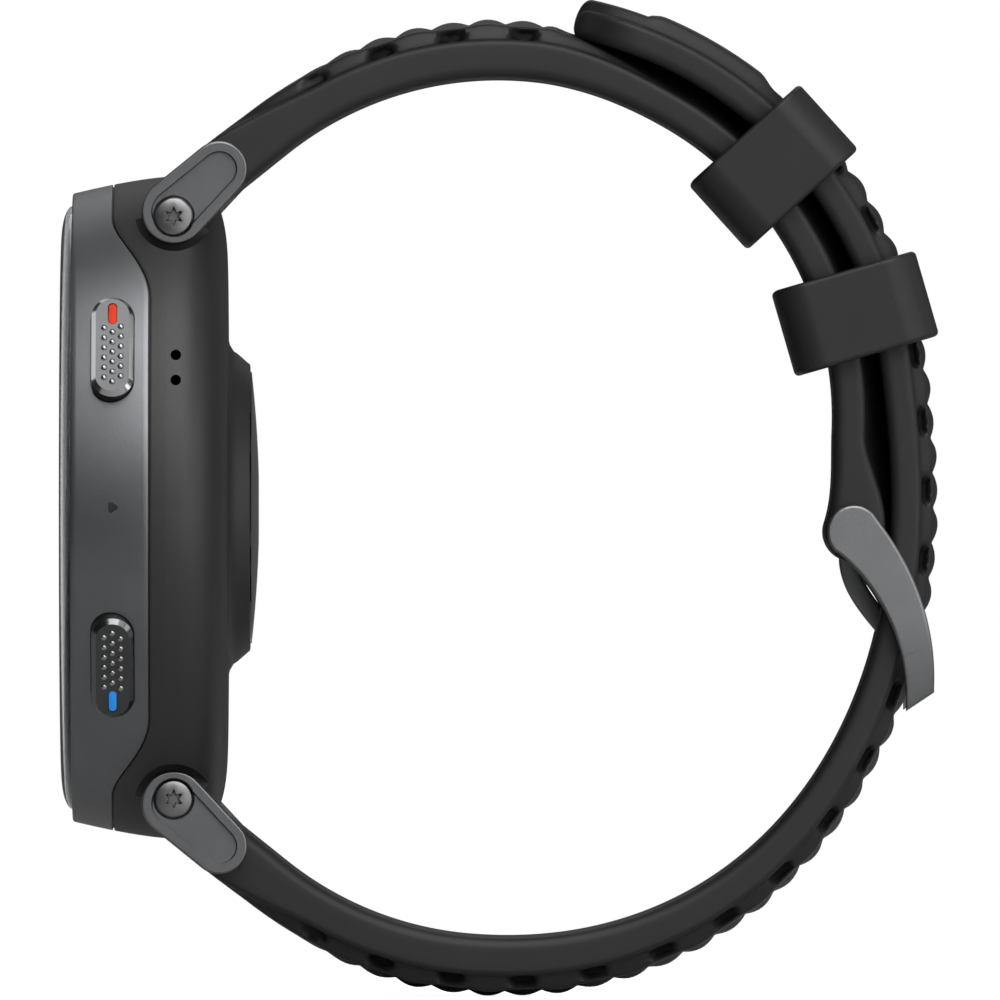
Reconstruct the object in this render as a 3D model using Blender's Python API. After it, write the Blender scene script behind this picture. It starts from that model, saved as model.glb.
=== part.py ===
"""A round GPS running watch with its strap fastened, as on a wrist, modelled in metres.

+Z points to twelve o'clock, +X to the button side and -Y out of the display. The origin is the middle of
the sensor lens, where the watch rests on the wrist.
"""

import math

import bmesh
import bpy
from mathutils import Vector

# Clearances
SEAM = 0.0001
FIT = 0.0003
SLIP = 0.0004

# Case, turned about the Y axis
CASE_RADIUS = 0.0233
CASE_DEPTH = 0.01092
SENSOR_RISE = 0.00218
RIM_INSET = 0.0012
RIM_FLARE = 1.4
WIDEST_DEPTH = 0.0041
BACK_CURVE = 0.0073
BACK_ROUNDNESS = 2.83
CASE_STEPS = 64
INNER_STEPS = 32

# Wave-shaped seam between bezel and rear case, with angles from the three o'clock axis
BEZEL_WIDTH_AT_SIDES = 0.00546
BEZEL_WIDTH_AT_LUGS = 0.00282
WAVE_FROM = 39.5
WAVE_TO = 63.0

# Glass and bezel
BEZEL_LIP = 0.00087
GLASS_CURVE = 0.00243
GLASS_PROUD = 0.00081
GLASS_THICKNESS = 0.0012
GLASS_LEDGE = 0.0011
MIC_HOLE_RADIUS = 0.00035

# Rear case
REAR_WALL = 0.0038
BACK_WALL = 0.0013
SPIGOT_INSET = 0.0023
SPIGOT_LENGTH = 0.0009
SEAL_THICKNESS = 0.0002
PEDESTAL_RADIUS = 0.0119
PEDESTAL_SLOPE = 0.00175
PEDESTAL_FOOT = 0.00088
PEDESTAL_FOOT_RISE = 0.0004
LENS_RADIUS = 0.0096
LENS_THICKNESS = 0.0014
LENS_DROP = 0.0005
LENS_FLAT_RADIUS = 0.0025
LENS_LEDGE = 0.0009
VENT_RADIUS = 0.00037
VENT_DEPTH = 0.00352
VENT_HEIGHT = 0.0098
VENT_PITCH = 0.00176
CONTACT_RADIUS = 0.0009
CONTACT_CIRCLE = 0.0142
CONTACT_SPREAD = 20.0

# Inner pieces, from the display back
DISPLAY_THICKNESS = 0.001
FRAME_THICKNESS = 0.0005
FRAME_HOLE_RADIUS = 0.006
BOARD_THICKNESS = 0.0008
BOARD_SPACE = 0.0016
BATTERY_GAP = 0.0007
SENSOR_BOARD_THICKNESS = 0.0008
ANTENNA_WIDTH = 0.0016
ANTENNA_THICKNESS = 0.0004
ANTENNA_FROM = 70.0
ANTENNA_TO = 290.0
GPS_SIDE = 0.009
MOTOR_RADIUS = 0.0029
MOTOR_HEIGHT = 0.0027
SPEAKER_SIZE = (0.0048, 0.003, 0.0066)
MIC_SIZE = (0.002, 0.001, 0.0024)
SWITCH_SIZE = (0.002, 0.0013, 0.0035)

# Buttons, each on a radius of the case
BUTTON_ANGLE = 28.5
BUTTON_BEHIND_RIM = 0.00296
BUTTON_LENGTH = 0.0079
BUTTON_WIDTH = 0.00294
BUTTON_THICKNESS = 0.00125
BUTTON_PROUD = 0.0007
BUTTON_CHAMFER = 0.0003
BUTTON_TRAVEL = 0.0004
BUTTON_POCKET_GAP = 0.00008
STEM_RADIUS = 0.0006
BUTTON_SEAL_WIDTH = 0.0004
BUTTON_SEAL_LENGTH = 0.0005
CLIP_RADIUS = 0.0011
CLIP_THICKNESS = 0.0003
MARK_LENGTH = 0.00158
MARK_WIDTH = 0.00056
MARK_DEPTH = 0.0003
MARK_OFFSET = 0.00255

# Lug links: tapered plates in pockets of the rear case
STRAP_WIDTH = 0.022
LUG_SCREW_INSET = 0.00288
LUG_INSET = 0.00255
LUG_BEHIND_RIM = 0.0072
LUG_REACH_Y = 0.00319
LUG_REACH_Z = 0.00298
LUG_ROOT_RADIUS = 0.00228
LUG_END_RADIUS = 0.00197
LUG_THICKNESS = 0.0026
LUG_RIM = 0.0007
LUG_RECESS = 0.0005
POCKET_GAP = 0.0005
SCREW_HEAD_RADIUS = 0.00137
SCREW_HEAD_HEIGHT = 0.0012
SCREW_CHAMFER = 0.00025
SCREW_SHANK_RADIUS = 0.0007
SCREW_LENGTH = 0.0038
SOCKET_RADIUS = 0.00068
SOCKET_LOBE = 0.00014
SOCKET_DEPTH = 0.0006
PIN_RADIUS = 0.00075
PIN_ENGAGEMENT = 0.0014

# Strap, fitted round a wrist arc
STRAP_HEADING = 38.7
STRAP_RUN = 0.00439
WRIST_RADIUS = 0.02378
STRAP_WALL = 0.00268
STRAP_END_WIDTH = 0.020
STRAP_EDGE = 0.0005
ROOT_FADE = 0.009
CROWN = 0.00105
TAIL_CROWN = 0.0008
RIDGE = 0.0005
RIDGE_FROM = 51.6
RIDGE_TO = 68.6
LINING_CROWN = 0.0002
BUMP = 0.00038
BUMP_PITCH = 0.00476
BUMP_ROW = 0.0035
BUMP_ROWS = 5
BUMPS_FROM = 0.0035
FIRST_BUMP = 0.0064
SMOOTH_STEP = 0.0022
TAIL_WALL = 0.0021
TAIL_GAP = 0.00045
TAIL_LEAVES = -95.0
TAIL_JOINS = 8.0
TAIL_BULGE = 0.42
TAIL_TIP = 79.0
TIP_CORNER = 0.005
PASS_HEADING = 86.0
HOLE_RADIUS = 0.0011
HOLES_EACH_WAY = 3
ROUND_END_STEPS = (15, 35, 60)
TIP_STEPS = (30, 55, 75)

# Buckle at the end of the upper strap
BUCKLE_ANGLE = -17.96
BUCKLE_PIN_RISE = 0.0025
BULB_RADIUS = 0.0021
BULB_FADE = 0.0055
ARM_RADIUS = 0.0019
ARM_END_RADIUS = 0.001
ARM_PAST_BAR = 0.0004
ARM_TOE = 0.0013
ARM_BOW = 0.0155
ARM_TAPER = 0.7
ARM_THICKNESS = 0.0015
ARM_SKIN = 0.0004
ARM_CHAMFER = 0.0002
BUCKLE_LENGTH = 0.0118
BAR_RADIUS = 0.00065
BAR_OFFSET = 0.00035
TONGUE_WIDTH = 0.003
TONGUE_THICKNESS = 0.0014
TONGUE_LOOP_RADIUS = 0.0016
TONGUE_START_HEADING = -108.0
TONGUE_END_HEADING = -52.3
TONGUE_START_PULL = 0.0039
TONGUE_END_PULL = 0.0041
TONGUE_PLAY = 0.00045

# Keepers: loops that slide round the wrist arc
KEEPER_ANGLES = {"keeper_upper": 42.2, "keeper_lower": 16.1}
KEEPER_LENGTH = 0.0062
KEEPER_SIDE = 0.0017
KEEPER_INNER_BAND = 0.0024
KEEPER_OUTER_BAND = 0.00055
KEEPER_CORNER = 0.0024
KEEPER_CHAMFER = 0.00035

# Places that follow from the sizes above
BACK_Y = -SENSOR_RISE
RIM_Y = BACK_Y - CASE_DEPTH
WIDEST_Y = BACK_Y - WIDEST_DEPTH
GLASS_RADIUS = CASE_RADIUS - RIM_INSET - BEZEL_LIP
GLASS_FLAT_RADIUS = GLASS_RADIUS - GLASS_CURVE
BACK_FLAT_RADIUS = CASE_RADIUS - BACK_CURVE
GLASS_FRONT_Y = RIM_Y - GLASS_PROUD
GLASS_BACK_Y = GLASS_FRONT_Y + GLASS_THICKNESS
LEDGE_Y = GLASS_BACK_Y + FIT
BEZEL_INNER_RADIUS = GLASS_RADIUS + SEAM - GLASS_LEDGE
SPIGOT_SOCKET_RADIUS = CASE_RADIUS - SPIGOT_INSET
CAVITY_RADIUS = CASE_RADIUS - REAR_WALL
FLOOR_Y = BACK_Y - BACK_WALL
LENS_SEAT_Y = -LENS_THICKNESS - SEAM
DISPLAY_Y = GLASS_BACK_Y + SEAM
FRAME_Y = DISPLAY_Y + DISPLAY_THICKNESS + SEAM
BOARD_Y = FRAME_Y + FRAME_THICKNESS + BOARD_SPACE
BOARD_RADIUS = CAVITY_RADIUS - FIT
BATTERY_RADIUS = CAVITY_RADIUS - FIT - 2 * MOTOR_RADIUS - BATTERY_GAP
BUTTON_Y = RIM_Y + BUTTON_BEHIND_RIM
LUG_PLANE = STRAP_WIDTH / 2 + FIT
SCREW_PLACE = Vector((RIM_Y + LUG_BEHIND_RIM, CASE_RADIUS - LUG_SCREW_INSET))
LUG_ROOT = Vector((RIM_Y + LUG_BEHIND_RIM, CASE_RADIUS - LUG_INSET))
LUG_END = LUG_ROOT + Vector((LUG_REACH_Y, LUG_REACH_Z))
OUTWARD = Vector((-math.sin(math.radians(STRAP_HEADING)), math.cos(math.radians(STRAP_HEADING))))
ALONG = Vector((OUTWARD.y, -OUTWARD.x))
WRIST_CENTRE = LUG_END + STRAP_RUN * ALONG - (WRIST_RADIUS + LUG_END_RADIUS) * OUTWARD
LOWER_CENTRE = Vector((WRIST_CENTRE.x, -WRIST_CENTRE.y))
TAIL_RADIUS = WRIST_RADIUS + STRAP_WALL + LINING_CROWN + TAIL_GAP
TAIL_THICKNESS = TAIL_WALL + TAIL_CROWN + max(BUMP, RIDGE)
BUCKLE_PIN_REACH = WRIST_RADIUS + BUCKLE_PIN_RISE


# Finishes
def finish(name, colour, roughness, metallic=0.0):
    material = bpy.data.materials.new(name)
    material.use_nodes = True
    shader = material.node_tree.nodes["Principled BSDF"]
    shader.inputs["Base Color"].default_value = (*colour, 1.0)
    shader.inputs["Roughness"].default_value = roughness
    shader.inputs["Metallic"].default_value = metallic
    material.diffuse_color = (*colour, 1.0)
    return material


# Plane geometry, in (y, z)
def polar(centre, radius, degrees):
    """The point at this angle, counted from +Y towards +Z."""
    turn = math.radians(degrees)
    return centre + radius * Vector((math.cos(turn), math.sin(turn)))


def arc(centre, radius, start, end, steps):
    return [polar(centre, radius, start + (end - start) * i / steps) for i in range(steps + 1)]


def tapered_pill(one, one_radius, two, two_radius, steps=8):
    """The outline round two circles."""
    lean = two - one
    heading = math.degrees(math.atan2(lean.y, lean.x))
    spread = math.degrees(math.acos((one_radius - two_radius) / lean.length))
    near = arc(one, one_radius, heading + spread, heading + 360 - spread, steps)
    far = arc(two, two_radius, heading - spread, heading + spread, steps)
    return near + far


def circle(centre, radius, steps=12):
    return [polar(centre, radius, 360 * i / steps) for i in range(steps)]


def pill(length, width, steps=6):
    """A pill in (y, z), long in z."""
    half = (length - width) / 2
    top = arc(Vector((0, half)), width / 2, 0, 180, steps)
    bottom = arc(Vector((0, -half)), width / 2, 180, 360, steps)
    return top + bottom


def rounded_box(low, high, radius, steps=3):
    """A rounded rectangle between two corners."""
    corners = (
        (Vector((high.x - radius, high.y - radius)), 0),
        (Vector((low.x + radius, high.y - radius)), 90),
        (Vector((low.x + radius, low.y + radius)), 180),
        (Vector((high.x - radius, low.y + radius)), 270),
    )
    return [point for centre, start in corners for point in arc(centre, radius, start, start + 90, steps)]


def bezier(start, start_pull, end, end_pull, steps):
    points = []
    for i in range(steps + 1):
        t = i / steps
        one = start + start_pull
        two = end - end_pull
        points.append(
            (1 - t) ** 3 * start + 3 * (1 - t) ** 2 * t * one + 3 * (1 - t) * t**2 * two + t**3 * end
        )
    return points


def heading_vector(degrees):
    return polar(Vector((0, 0)), 1, degrees)


# Solids
def joint_axis(name, location, rotation=(0, 0, 0)):
    """An empty on the axis that a moving piece turns on or slides along."""
    axis = bpy.data.objects.new(name, None)
    axis.location = location
    axis.rotation_euler = rotation
    bpy.context.collection.objects.link(axis)
    return axis


def place(name, solid, material, parent=None, location=(0, 0, 0), rotation=(0, 0, 0)):
    """Turn a bmesh into a named object."""
    bmesh.ops.recalc_face_normals(solid, faces=solid.faces)
    mesh = bpy.data.meshes.new(name)
    solid.to_mesh(mesh)
    solid.free()
    mesh.shade_smooth()
    mesh.set_sharp_from_angle(angle=math.radians(30))
    if material:
        mesh.materials.append(material)
    made = bpy.data.objects.new(name, mesh)
    made.parent = parent
    made.location = location
    made.rotation_euler = rotation
    bpy.context.collection.objects.link(made)
    return made


def loft(loops, closed=False):
    """Skin equal loops of points; an open loft is capped at both ends."""
    solid = bmesh.new()
    rows = [[solid.verts.new(point) for point in loop] for loop in loops]
    following = rows[1:] + rows[:1] if closed else rows[1:]
    for row, after in zip(rows, following):
        for i, vertex in enumerate(row):
            solid.faces.new((vertex, row[i - 1], after[i - 1], after[i]))
    if not closed:
        solid.faces.new(rows[0])
        solid.faces.new(rows[-1])
    return solid


def turned(profile, steps):
    """Spin a profile of (radius, y) about the Y axis; an open profile gets flat ends on the axis."""
    solid = bmesh.new()
    if profile[0] != profile[-1]:
        profile = [(0, profile[0][1]), *profile, (0, profile[-1][1])]
    points = [solid.verts.new((radius, y, 0)) for radius, y in profile]
    edges = [solid.edges.new(pair) for pair in zip(points, points[1:])]
    turn = {"cent": (0, 0, 0), "axis": (0, 1, 0), "angle": math.tau, "steps": steps, "use_merge": True}
    bmesh.ops.spin(solid, geom=points + edges, **turn)
    bmesh.ops.remove_doubles(solid, verts=solid.verts, dist=1e-7)
    return solid


def wave_ring(section_at, steps):
    """A ring about the Y axis whose section of (radius, y) changes with the angle."""
    loops = []
    for i in range(steps):
        turn = math.tau * i / steps
        loops.append([(r * math.cos(turn), y, r * math.sin(turn)) for r, y in section_at(math.degrees(turn))])
    return loft(loops, closed=True)


def slab(outlines, xs):
    """Stack outlines of (y, z) at these x values."""
    return loft([[(x, p.x, p.y) for p in outline] for outline, x in zip(outlines, xs)])


def plate(outline, low, high):
    return slab([outline, outline], [low, high])


def box(low, high):
    solid = bmesh.new()
    bmesh.ops.create_cube(solid, size=1)
    for vertex in solid.verts:
        vertex.co = [a + (b - a) * (c + 0.5) for a, b, c in zip(low, high, vertex.co)]
    return solid


def rod(centre, radius, low, high, steps=12):
    """A round bar along X through this (y, z)."""
    return plate(circle(centre, radius, steps), low, high)


def cut(target, name, solid, operation="DIFFERENCE", **where):
    """Cut a hidden shape out of an object, or join it on."""
    cutter = place(name, solid, None, **where)
    cutter.hide_render = True
    cutter.display_type = "WIRE"
    modifier = target.modifiers.new(name, "BOOLEAN")
    modifier.operation = operation
    modifier.solver = "EXACT"
    modifier.object = cutter
    return cutter


# Case
def case_radius_at(y):
    """The outer radius of bezel and rear case, forward of the widest part."""
    share = (WIDEST_Y - y) / (WIDEST_Y - RIM_Y)
    return CASE_RADIUS - RIM_INSET * max(share, 0) ** RIM_FLARE


def seam_at(degrees):
    """Where the seam runs at this angle: wide at the sides, narrow at the lugs."""
    turn = math.radians(degrees)
    steep = math.degrees(math.atan2(abs(math.sin(turn)), abs(math.cos(turn))))
    share = min(max((steep - WAVE_FROM) / (WAVE_TO - WAVE_FROM), 0), 1)
    share = share * share * (3 - 2 * share)
    return RIM_Y + BEZEL_WIDTH_AT_SIDES + (BEZEL_WIDTH_AT_LUGS - BEZEL_WIDTH_AT_SIDES) * share


def seal_front_at(degrees):
    return seam_at(degrees) - SPIGOT_LENGTH - SEAL_THICKNESS - SEAM


def bezel_section(degrees):
    seam = seam_at(degrees)
    step = seal_front_at(degrees) - SEAM
    outside = [RIM_Y + (seam - RIM_Y) * i / 4 for i in range(5)]
    section = [(case_radius_at(y), y) for y in outside]
    section += [(SPIGOT_SOCKET_RADIUS, seam), (SPIGOT_SOCKET_RADIUS, step), (BEZEL_INNER_RADIUS, step)]
    section += [(BEZEL_INNER_RADIUS, LEDGE_Y), (GLASS_RADIUS + SEAM, LEDGE_Y), (GLASS_RADIUS + SEAM, RIM_Y)]
    return section


def seal_section(degrees):
    front = seal_front_at(degrees)
    back = front + SEAL_THICKNESS
    outer = SPIGOT_SOCKET_RADIUS - FIT
    return [(BEZEL_INNER_RADIUS, front), (outer, front), (outer, back), (BEZEL_INNER_RADIUS, back)]


def rear_section(degrees):
    seam = seam_at(degrees) + SEAM
    sides = [seam + (WIDEST_Y - seam) * i / 3 for i in range(4)]
    section = [(case_radius_at(y), y) for y in sides]
    for i in range(1, 7):
        turn = math.radians(90 * i / 6)
        across = math.cos(turn) ** (2 / BACK_ROUNDNESS)
        back = math.sin(turn) ** (2 / BACK_ROUNDNESS)
        radius = BACK_FLAT_RADIUS + (CASE_RADIUS - BACK_FLAT_RADIUS) * across
        section.append((radius, WIDEST_Y + WIDEST_DEPTH * back))
    top = -LENS_DROP - SEAM
    inner_edge = LENS_RADIUS + SEAM
    section.append((PEDESTAL_RADIUS, BACK_Y))
    section.append((PEDESTAL_RADIUS - PEDESTAL_FOOT, BACK_Y + PEDESTAL_FOOT_RISE))
    section.append((PEDESTAL_RADIUS - PEDESTAL_SLOPE, top))
    section.append((inner_edge, top))
    section.append((inner_edge, LENS_SEAT_Y))
    section.append((LENS_RADIUS - LENS_LEDGE, LENS_SEAT_Y))
    section.append((LENS_RADIUS - LENS_LEDGE, FLOOR_Y))
    section.append((CAVITY_RADIUS, FLOOR_Y))
    spigot = seam_at(degrees) - SPIGOT_LENGTH
    outer = SPIGOT_SOCKET_RADIUS - FIT
    section += [(CAVITY_RADIUS, spigot), (outer, spigot), (outer, seam)]
    return section


def make_glass(material):
    edge = []
    for i in range(5):
        turn = math.radians(90 * i / 4)
        radius = GLASS_FLAT_RADIUS + (GLASS_RADIUS - GLASS_FLAT_RADIUS) * math.sin(turn)
        edge.append((radius, RIM_Y - GLASS_PROUD * math.cos(turn)))
    place("front_glass", turned([*edge, (GLASS_RADIUS, GLASS_BACK_Y)], CASE_STEPS), material)


def make_bezel(material, axes):
    bezel = place("bezel", wave_ring(bezel_section, CASE_STEPS), material)
    hole = circle(Vector((BUTTON_Y, 0)), MIC_HOLE_RADIUS, 8)
    cut(bezel, "mic_hole", plate(hole, BEZEL_INNER_RADIUS - FIT, CASE_RADIUS))
    for side, axis in axes.items():
        gap = 2 * BUTTON_POCKET_GAP
        pocket = pill(BUTTON_LENGTH + gap, BUTTON_WIDTH + gap)
        cut(bezel, f"pocket_{side}", plate(pocket, button_floor(), CASE_RADIUS + BUTTON_PROUD), parent=axis)
        bore = circle(Vector((0, 0)), STEM_RADIUS + SEAM, 12)
        cut(bezel, f"bore_{side}", plate(bore, CAVITY_RADIUS, CASE_RADIUS), parent=axis)
        seat = circle(Vector((0, 0)), STEM_RADIUS + SEAM + BUTTON_SEAL_WIDTH + SEAM, 12)
        cut(bezel, f"seat_{side}", plate(seat, CAVITY_RADIUS, button_seal_place()[1] + SEAM), parent=axis)


def make_rear_case(material):
    rear = place("rear_case", wave_ring(rear_section, CASE_STEPS), material)
    inner = LUG_PLANE - FIT
    for side, end in ((1, 1), (1, -1), (-1, 1), (-1, -1)):
        tag = f"{'right' if side > 0 else 'left'}_{'upper' if end > 0 else 'lower'}"
        outline = mirrored(lug_outline(POCKET_GAP), end)
        cut(rear, f"link_pocket_{tag}", plate(outline, side * inner, side * 2 * CASE_RADIUS))
        thread = circle(Vector((SCREW_PLACE.x, end * SCREW_PLACE.y)), SCREW_SHANK_RADIUS + SEAM, 10)
        cut(rear, f"screw_hole_{tag}", plate(thread, side * (screw_tip() - FIT), side * 2 * inner))
    for end in (-1, 1):
        channel = rod(Vector((LUG_END.x, end * LUG_END.y)), LUG_END_RADIUS + FIT, -LUG_PLANE, LUG_PLANE, 24)
        cut(rear, f"strap_channel_{'upper' if end > 0 else 'lower'}", channel)
    for step in (-0.5, 0.5):
        vent = circle(Vector((BACK_Y - VENT_DEPTH, VENT_HEIGHT + step * VENT_PITCH)), VENT_RADIUS, 10)
        cut(rear, f"vent_{step > 0:d}", plate(vent, CAVITY_RADIUS - REAR_WALL, CASE_RADIUS))
    for number, (x, z) in enumerate(contact_places(), 1):
        hole = turned([(CONTACT_RADIUS + SEAM, FLOOR_Y - FIT), (CONTACT_RADIUS + SEAM, 0)], 12)
        cut(rear, f"contact_hole_{number}", hole, location=(x, 0, z))


def make_case_seal(material):
    place("case_seal", wave_ring(seal_section, CASE_STEPS), material)


def make_sensor(lens_material, board_material):
    profile = []
    for i in range(5):
        radius = LENS_FLAT_RADIUS + (LENS_RADIUS - LENS_FLAT_RADIUS) * i / 4
        share = (radius**2 - LENS_FLAT_RADIUS**2) / (LENS_RADIUS**2 - LENS_FLAT_RADIUS**2)
        profile.append((radius, -LENS_DROP * share))
    place("sensor_lens", turned([*profile, (LENS_RADIUS, LENS_SEAT_Y + SEAM)], CASE_STEPS), lens_material)
    radius = LENS_RADIUS - LENS_LEDGE - FIT
    front = FLOOR_Y + SEAM
    board = [(radius, front), (radius, front + SENSOR_BOARD_THICKNESS)]
    place("sensor_board", turned(board, INNER_STEPS), board_material)


# Inner pieces
def contact_places():
    for share in (-0.5, 0.5):
        spot = polar(Vector((0, 0)), CONTACT_CIRCLE, -90 + share * CONTACT_SPREAD)
        yield spot.x, spot.y


def make_contacts(material):
    for number, (x, z) in enumerate(contact_places(), 1):
        pad = turned([(CONTACT_RADIUS, FLOOR_Y - SEAM), (CONTACT_RADIUS, BACK_Y + SEAM)], 12)
        place(f"charge_contact_{number}", pad, material, location=(x, 0, z))


def make_stack(materials):
    """Display, carrier, board and battery, one behind the other."""
    display = BEZEL_INNER_RADIUS - FIT
    profile = [(display, DISPLAY_Y), (display, DISPLAY_Y + DISPLAY_THICKNESS)]
    place("display_panel", turned(profile, INNER_STEPS), materials["display"])
    back = FRAME_Y + FRAME_THICKNESS
    hole, edge = FRAME_HOLE_RADIUS, BOARD_RADIUS
    ring = [(hole, FRAME_Y), (edge, FRAME_Y), (edge, back), (hole, back), (hole, FRAME_Y)]
    place("inner_frame", turned(ring, INNER_STEPS), materials["carrier"])
    profile = [(BOARD_RADIUS, BOARD_Y), (BOARD_RADIUS, BOARD_Y + BOARD_THICKNESS)]
    place("main_board", turned(profile, INNER_STEPS), materials["board"])
    front = BOARD_Y + BOARD_THICKNESS + FIT
    profile = [(BATTERY_RADIUS, front), (BATTERY_RADIUS, FLOOR_Y - FIT)]
    place("battery", turned(profile, INNER_STEPS), materials["battery"])


def make_modules(materials):
    """The small parts beside the battery and on the front of the board."""
    low, high = FRAME_Y + FRAME_THICKNESS + SEAM, FRAME_Y + FRAME_THICKNESS + SEAM + ANTENNA_THICKNESS
    inner, outer = BOARD_RADIUS - ANTENNA_WIDTH, BOARD_RADIUS
    loops = []
    for i in range(19):
        turn = math.radians(ANTENNA_FROM + (ANTENNA_TO - ANTENNA_FROM) * i / 18)
        corners = ((inner, low), (outer, low), (outer, high), (inner, high))
        loops.append([(r * math.cos(turn), y, r * math.sin(turn)) for r, y in corners])
    place("antenna_arc", loft(loops), materials["copper"])
    half = GPS_SIDE / 2
    front = FRAME_Y + FRAME_THICKNESS + FIT
    place("gps_module", box((-half, front, -half), (half, BOARD_Y - SEAM, half)), materials["can"])
    motor = [(MOTOR_RADIUS, FLOOR_Y - FIT - MOTOR_HEIGHT), (MOTOR_RADIUS, FLOOR_Y - FIT)]
    away = CAVITY_RADIUS - FIT - MOTOR_RADIUS
    place("vibration_motor", turned(motor, INNER_STEPS), materials["can"], location=(-away, 0, 0))
    deep, tall, wide = SPEAKER_SIZE
    reach = CAVITY_RADIUS - FIT - deep
    angle = -math.asin(VENT_HEIGHT / CASE_RADIUS)
    low, high = (reach - FIT, FLOOR_Y - FIT - tall, -wide / 2), (reach + deep - FIT, FLOOR_Y - FIT, wide / 2)
    place("speaker", box(low, high), materials["can"], rotation=(0, angle, 0))
    deep, tall, wide = MIC_SIZE
    back = BOARD_Y - SEAM
    low, high = (BOARD_RADIUS - deep, back - tall, -wide / 2), (BOARD_RADIUS, back, wide / 2)
    place("microphone", box(low, high), materials["can"])


# Buttons, in a frame whose +X is the button's radius
def button_face():
    return case_radius_at(BUTTON_Y) + BUTTON_PROUD


def button_floor():
    """The bottom of the pocket, with room for the press."""
    return button_face() - BUTTON_THICKNESS - BUTTON_TRAVEL - SEAM


def stem_end():
    return BOARD_RADIUS - SEAM


def button_seal_place():
    low = BEZEL_INNER_RADIUS + SEAM
    return low, low + BUTTON_SEAL_LENGTH


def tube(outer_radius, hole_radius, low, high):
    """A short tube along X."""
    corners = ((hole_radius, low), (outer_radius, low), (outer_radius, high), (hole_radius, high))
    loops = []
    for i in range(12):
        turn = math.tau * i / 12
        loops.append([(x, r * math.cos(turn), r * math.sin(turn)) for r, x in corners])
    return loft(loops, closed=True)


def button_axis(side, sign):
    turn = (0, -sign * math.radians(BUTTON_ANGLE), 0)
    return joint_axis(f"button_{side}_axis", (0, BUTTON_Y, 0), turn)


def make_button(side, sign, axis, materials):
    face = button_face()
    full = pill(BUTTON_LENGTH, BUTTON_WIDTH)
    small = pill(BUTTON_LENGTH - 2 * BUTTON_CHAMFER, BUTTON_WIDTH - 2 * BUTTON_CHAMFER)
    cap = slab([full, full, small], [face - BUTTON_THICKNESS, face - BUTTON_CHAMFER, face])
    button = place(f"button_{side}", cap, materials["button"], axis)
    stem = rod(Vector((0, 0)), STEM_RADIUS, stem_end(), face - BUTTON_THICKNESS / 2)
    cut(button, f"stem_{side}", stem, "UNION", parent=axis)
    spot = Vector((0, sign * MARK_OFFSET))
    recess = [p + spot for p in pill(MARK_LENGTH + 2 * SEAM, MARK_WIDTH + 2 * SEAM)]
    cut(button, f"mark_recess_{side}", plate(recess, face - MARK_DEPTH - SEAM, face + FIT), parent=axis)
    inlay = [p + spot for p in pill(MARK_LENGTH, MARK_WIDTH)]
    mark = plate(inlay, face - MARK_DEPTH, face)
    place(f"button_{side}_mark", mark, materials[f"mark_{side}"], axis)
    hole = STEM_RADIUS + SEAM
    seal = tube(hole + BUTTON_SEAL_WIDTH, hole, *button_seal_place())
    place(f"button_{side}_seal", seal, materials["rubber"], axis)
    outer = BEZEL_INNER_RADIUS - SEAM
    clip = tube(CLIP_RADIUS, hole, outer - CLIP_THICKNESS, outer)
    place(f"button_{side}_clip", clip, materials["steel"], axis)
    deep, tall, wide = SWITCH_SIZE
    front = stem_end() - BUTTON_TRAVEL - SEAM
    back = BOARD_Y - SEAM - BUTTON_Y
    low, high = (front - deep, back - tall, -wide / 2), (front, back, wide / 2)
    place(f"button_{side}_switch", box(low, high), materials["can"], axis)


# Lug links
def mirrored(outline, end):
    return [Vector((p.x, end * p.y)) for p in outline]


def lug_outline(grow):
    return tapered_pill(LUG_ROOT, LUG_ROOT_RADIUS + grow, LUG_END, LUG_END_RADIUS + grow)


def screw_tip():
    return LUG_PLANE + LUG_THICKNESS - LUG_RECESS - SCREW_HEAD_HEIGHT - SCREW_LENGTH


def make_lug(side, end, materials):
    tag = f"{'upper' if end > 0 else 'lower'}_{'right' if side > 0 else 'left'}"
    inner, face = side * LUG_PLANE, side * (LUG_PLANE + LUG_THICKNESS)
    floor = face - side * LUG_RECESS
    lug = place(f"lug_{tag}", plate(mirrored(lug_outline(0), end), inner, face), materials["lug"])
    screw_spot = Vector((SCREW_PLACE.x, end * SCREW_PLACE.y))
    pin_spot = Vector((LUG_END.x, end * LUG_END.y))
    recess = tapered_pill(SCREW_PLACE, SCREW_HEAD_RADIUS + FIT / 2, LUG_END, LUG_END_RADIUS - LUG_RIM)
    cut(lug, f"recess_{tag}", plate(mirrored(recess, end), floor, face + side * FIT))
    seat = floor - side * (SCREW_HEAD_HEIGHT - SCREW_CHAMFER + SEAM)
    head = circle(screw_spot, SCREW_HEAD_RADIUS + SEAM, 16)
    cut(lug, f"head_seat_{tag}", plate(head, seat, face + side * FIT))
    shank = circle(screw_spot, SCREW_SHANK_RADIUS + SEAM, 10)
    cut(lug, f"shank_hole_{tag}", plate(shank, inner - side * FIT, face))
    pin_depth = inner + side * (PIN_ENGAGEMENT + SEAM)
    cut(lug, f"pin_hole_{tag}", rod(pin_spot, PIN_RADIUS + SEAM, inner - side * FIT, pin_depth))
    make_screw(f"lug_screw_{tag}", side, screw_spot, abs(seat) + SEAM, materials["screw"])


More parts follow.
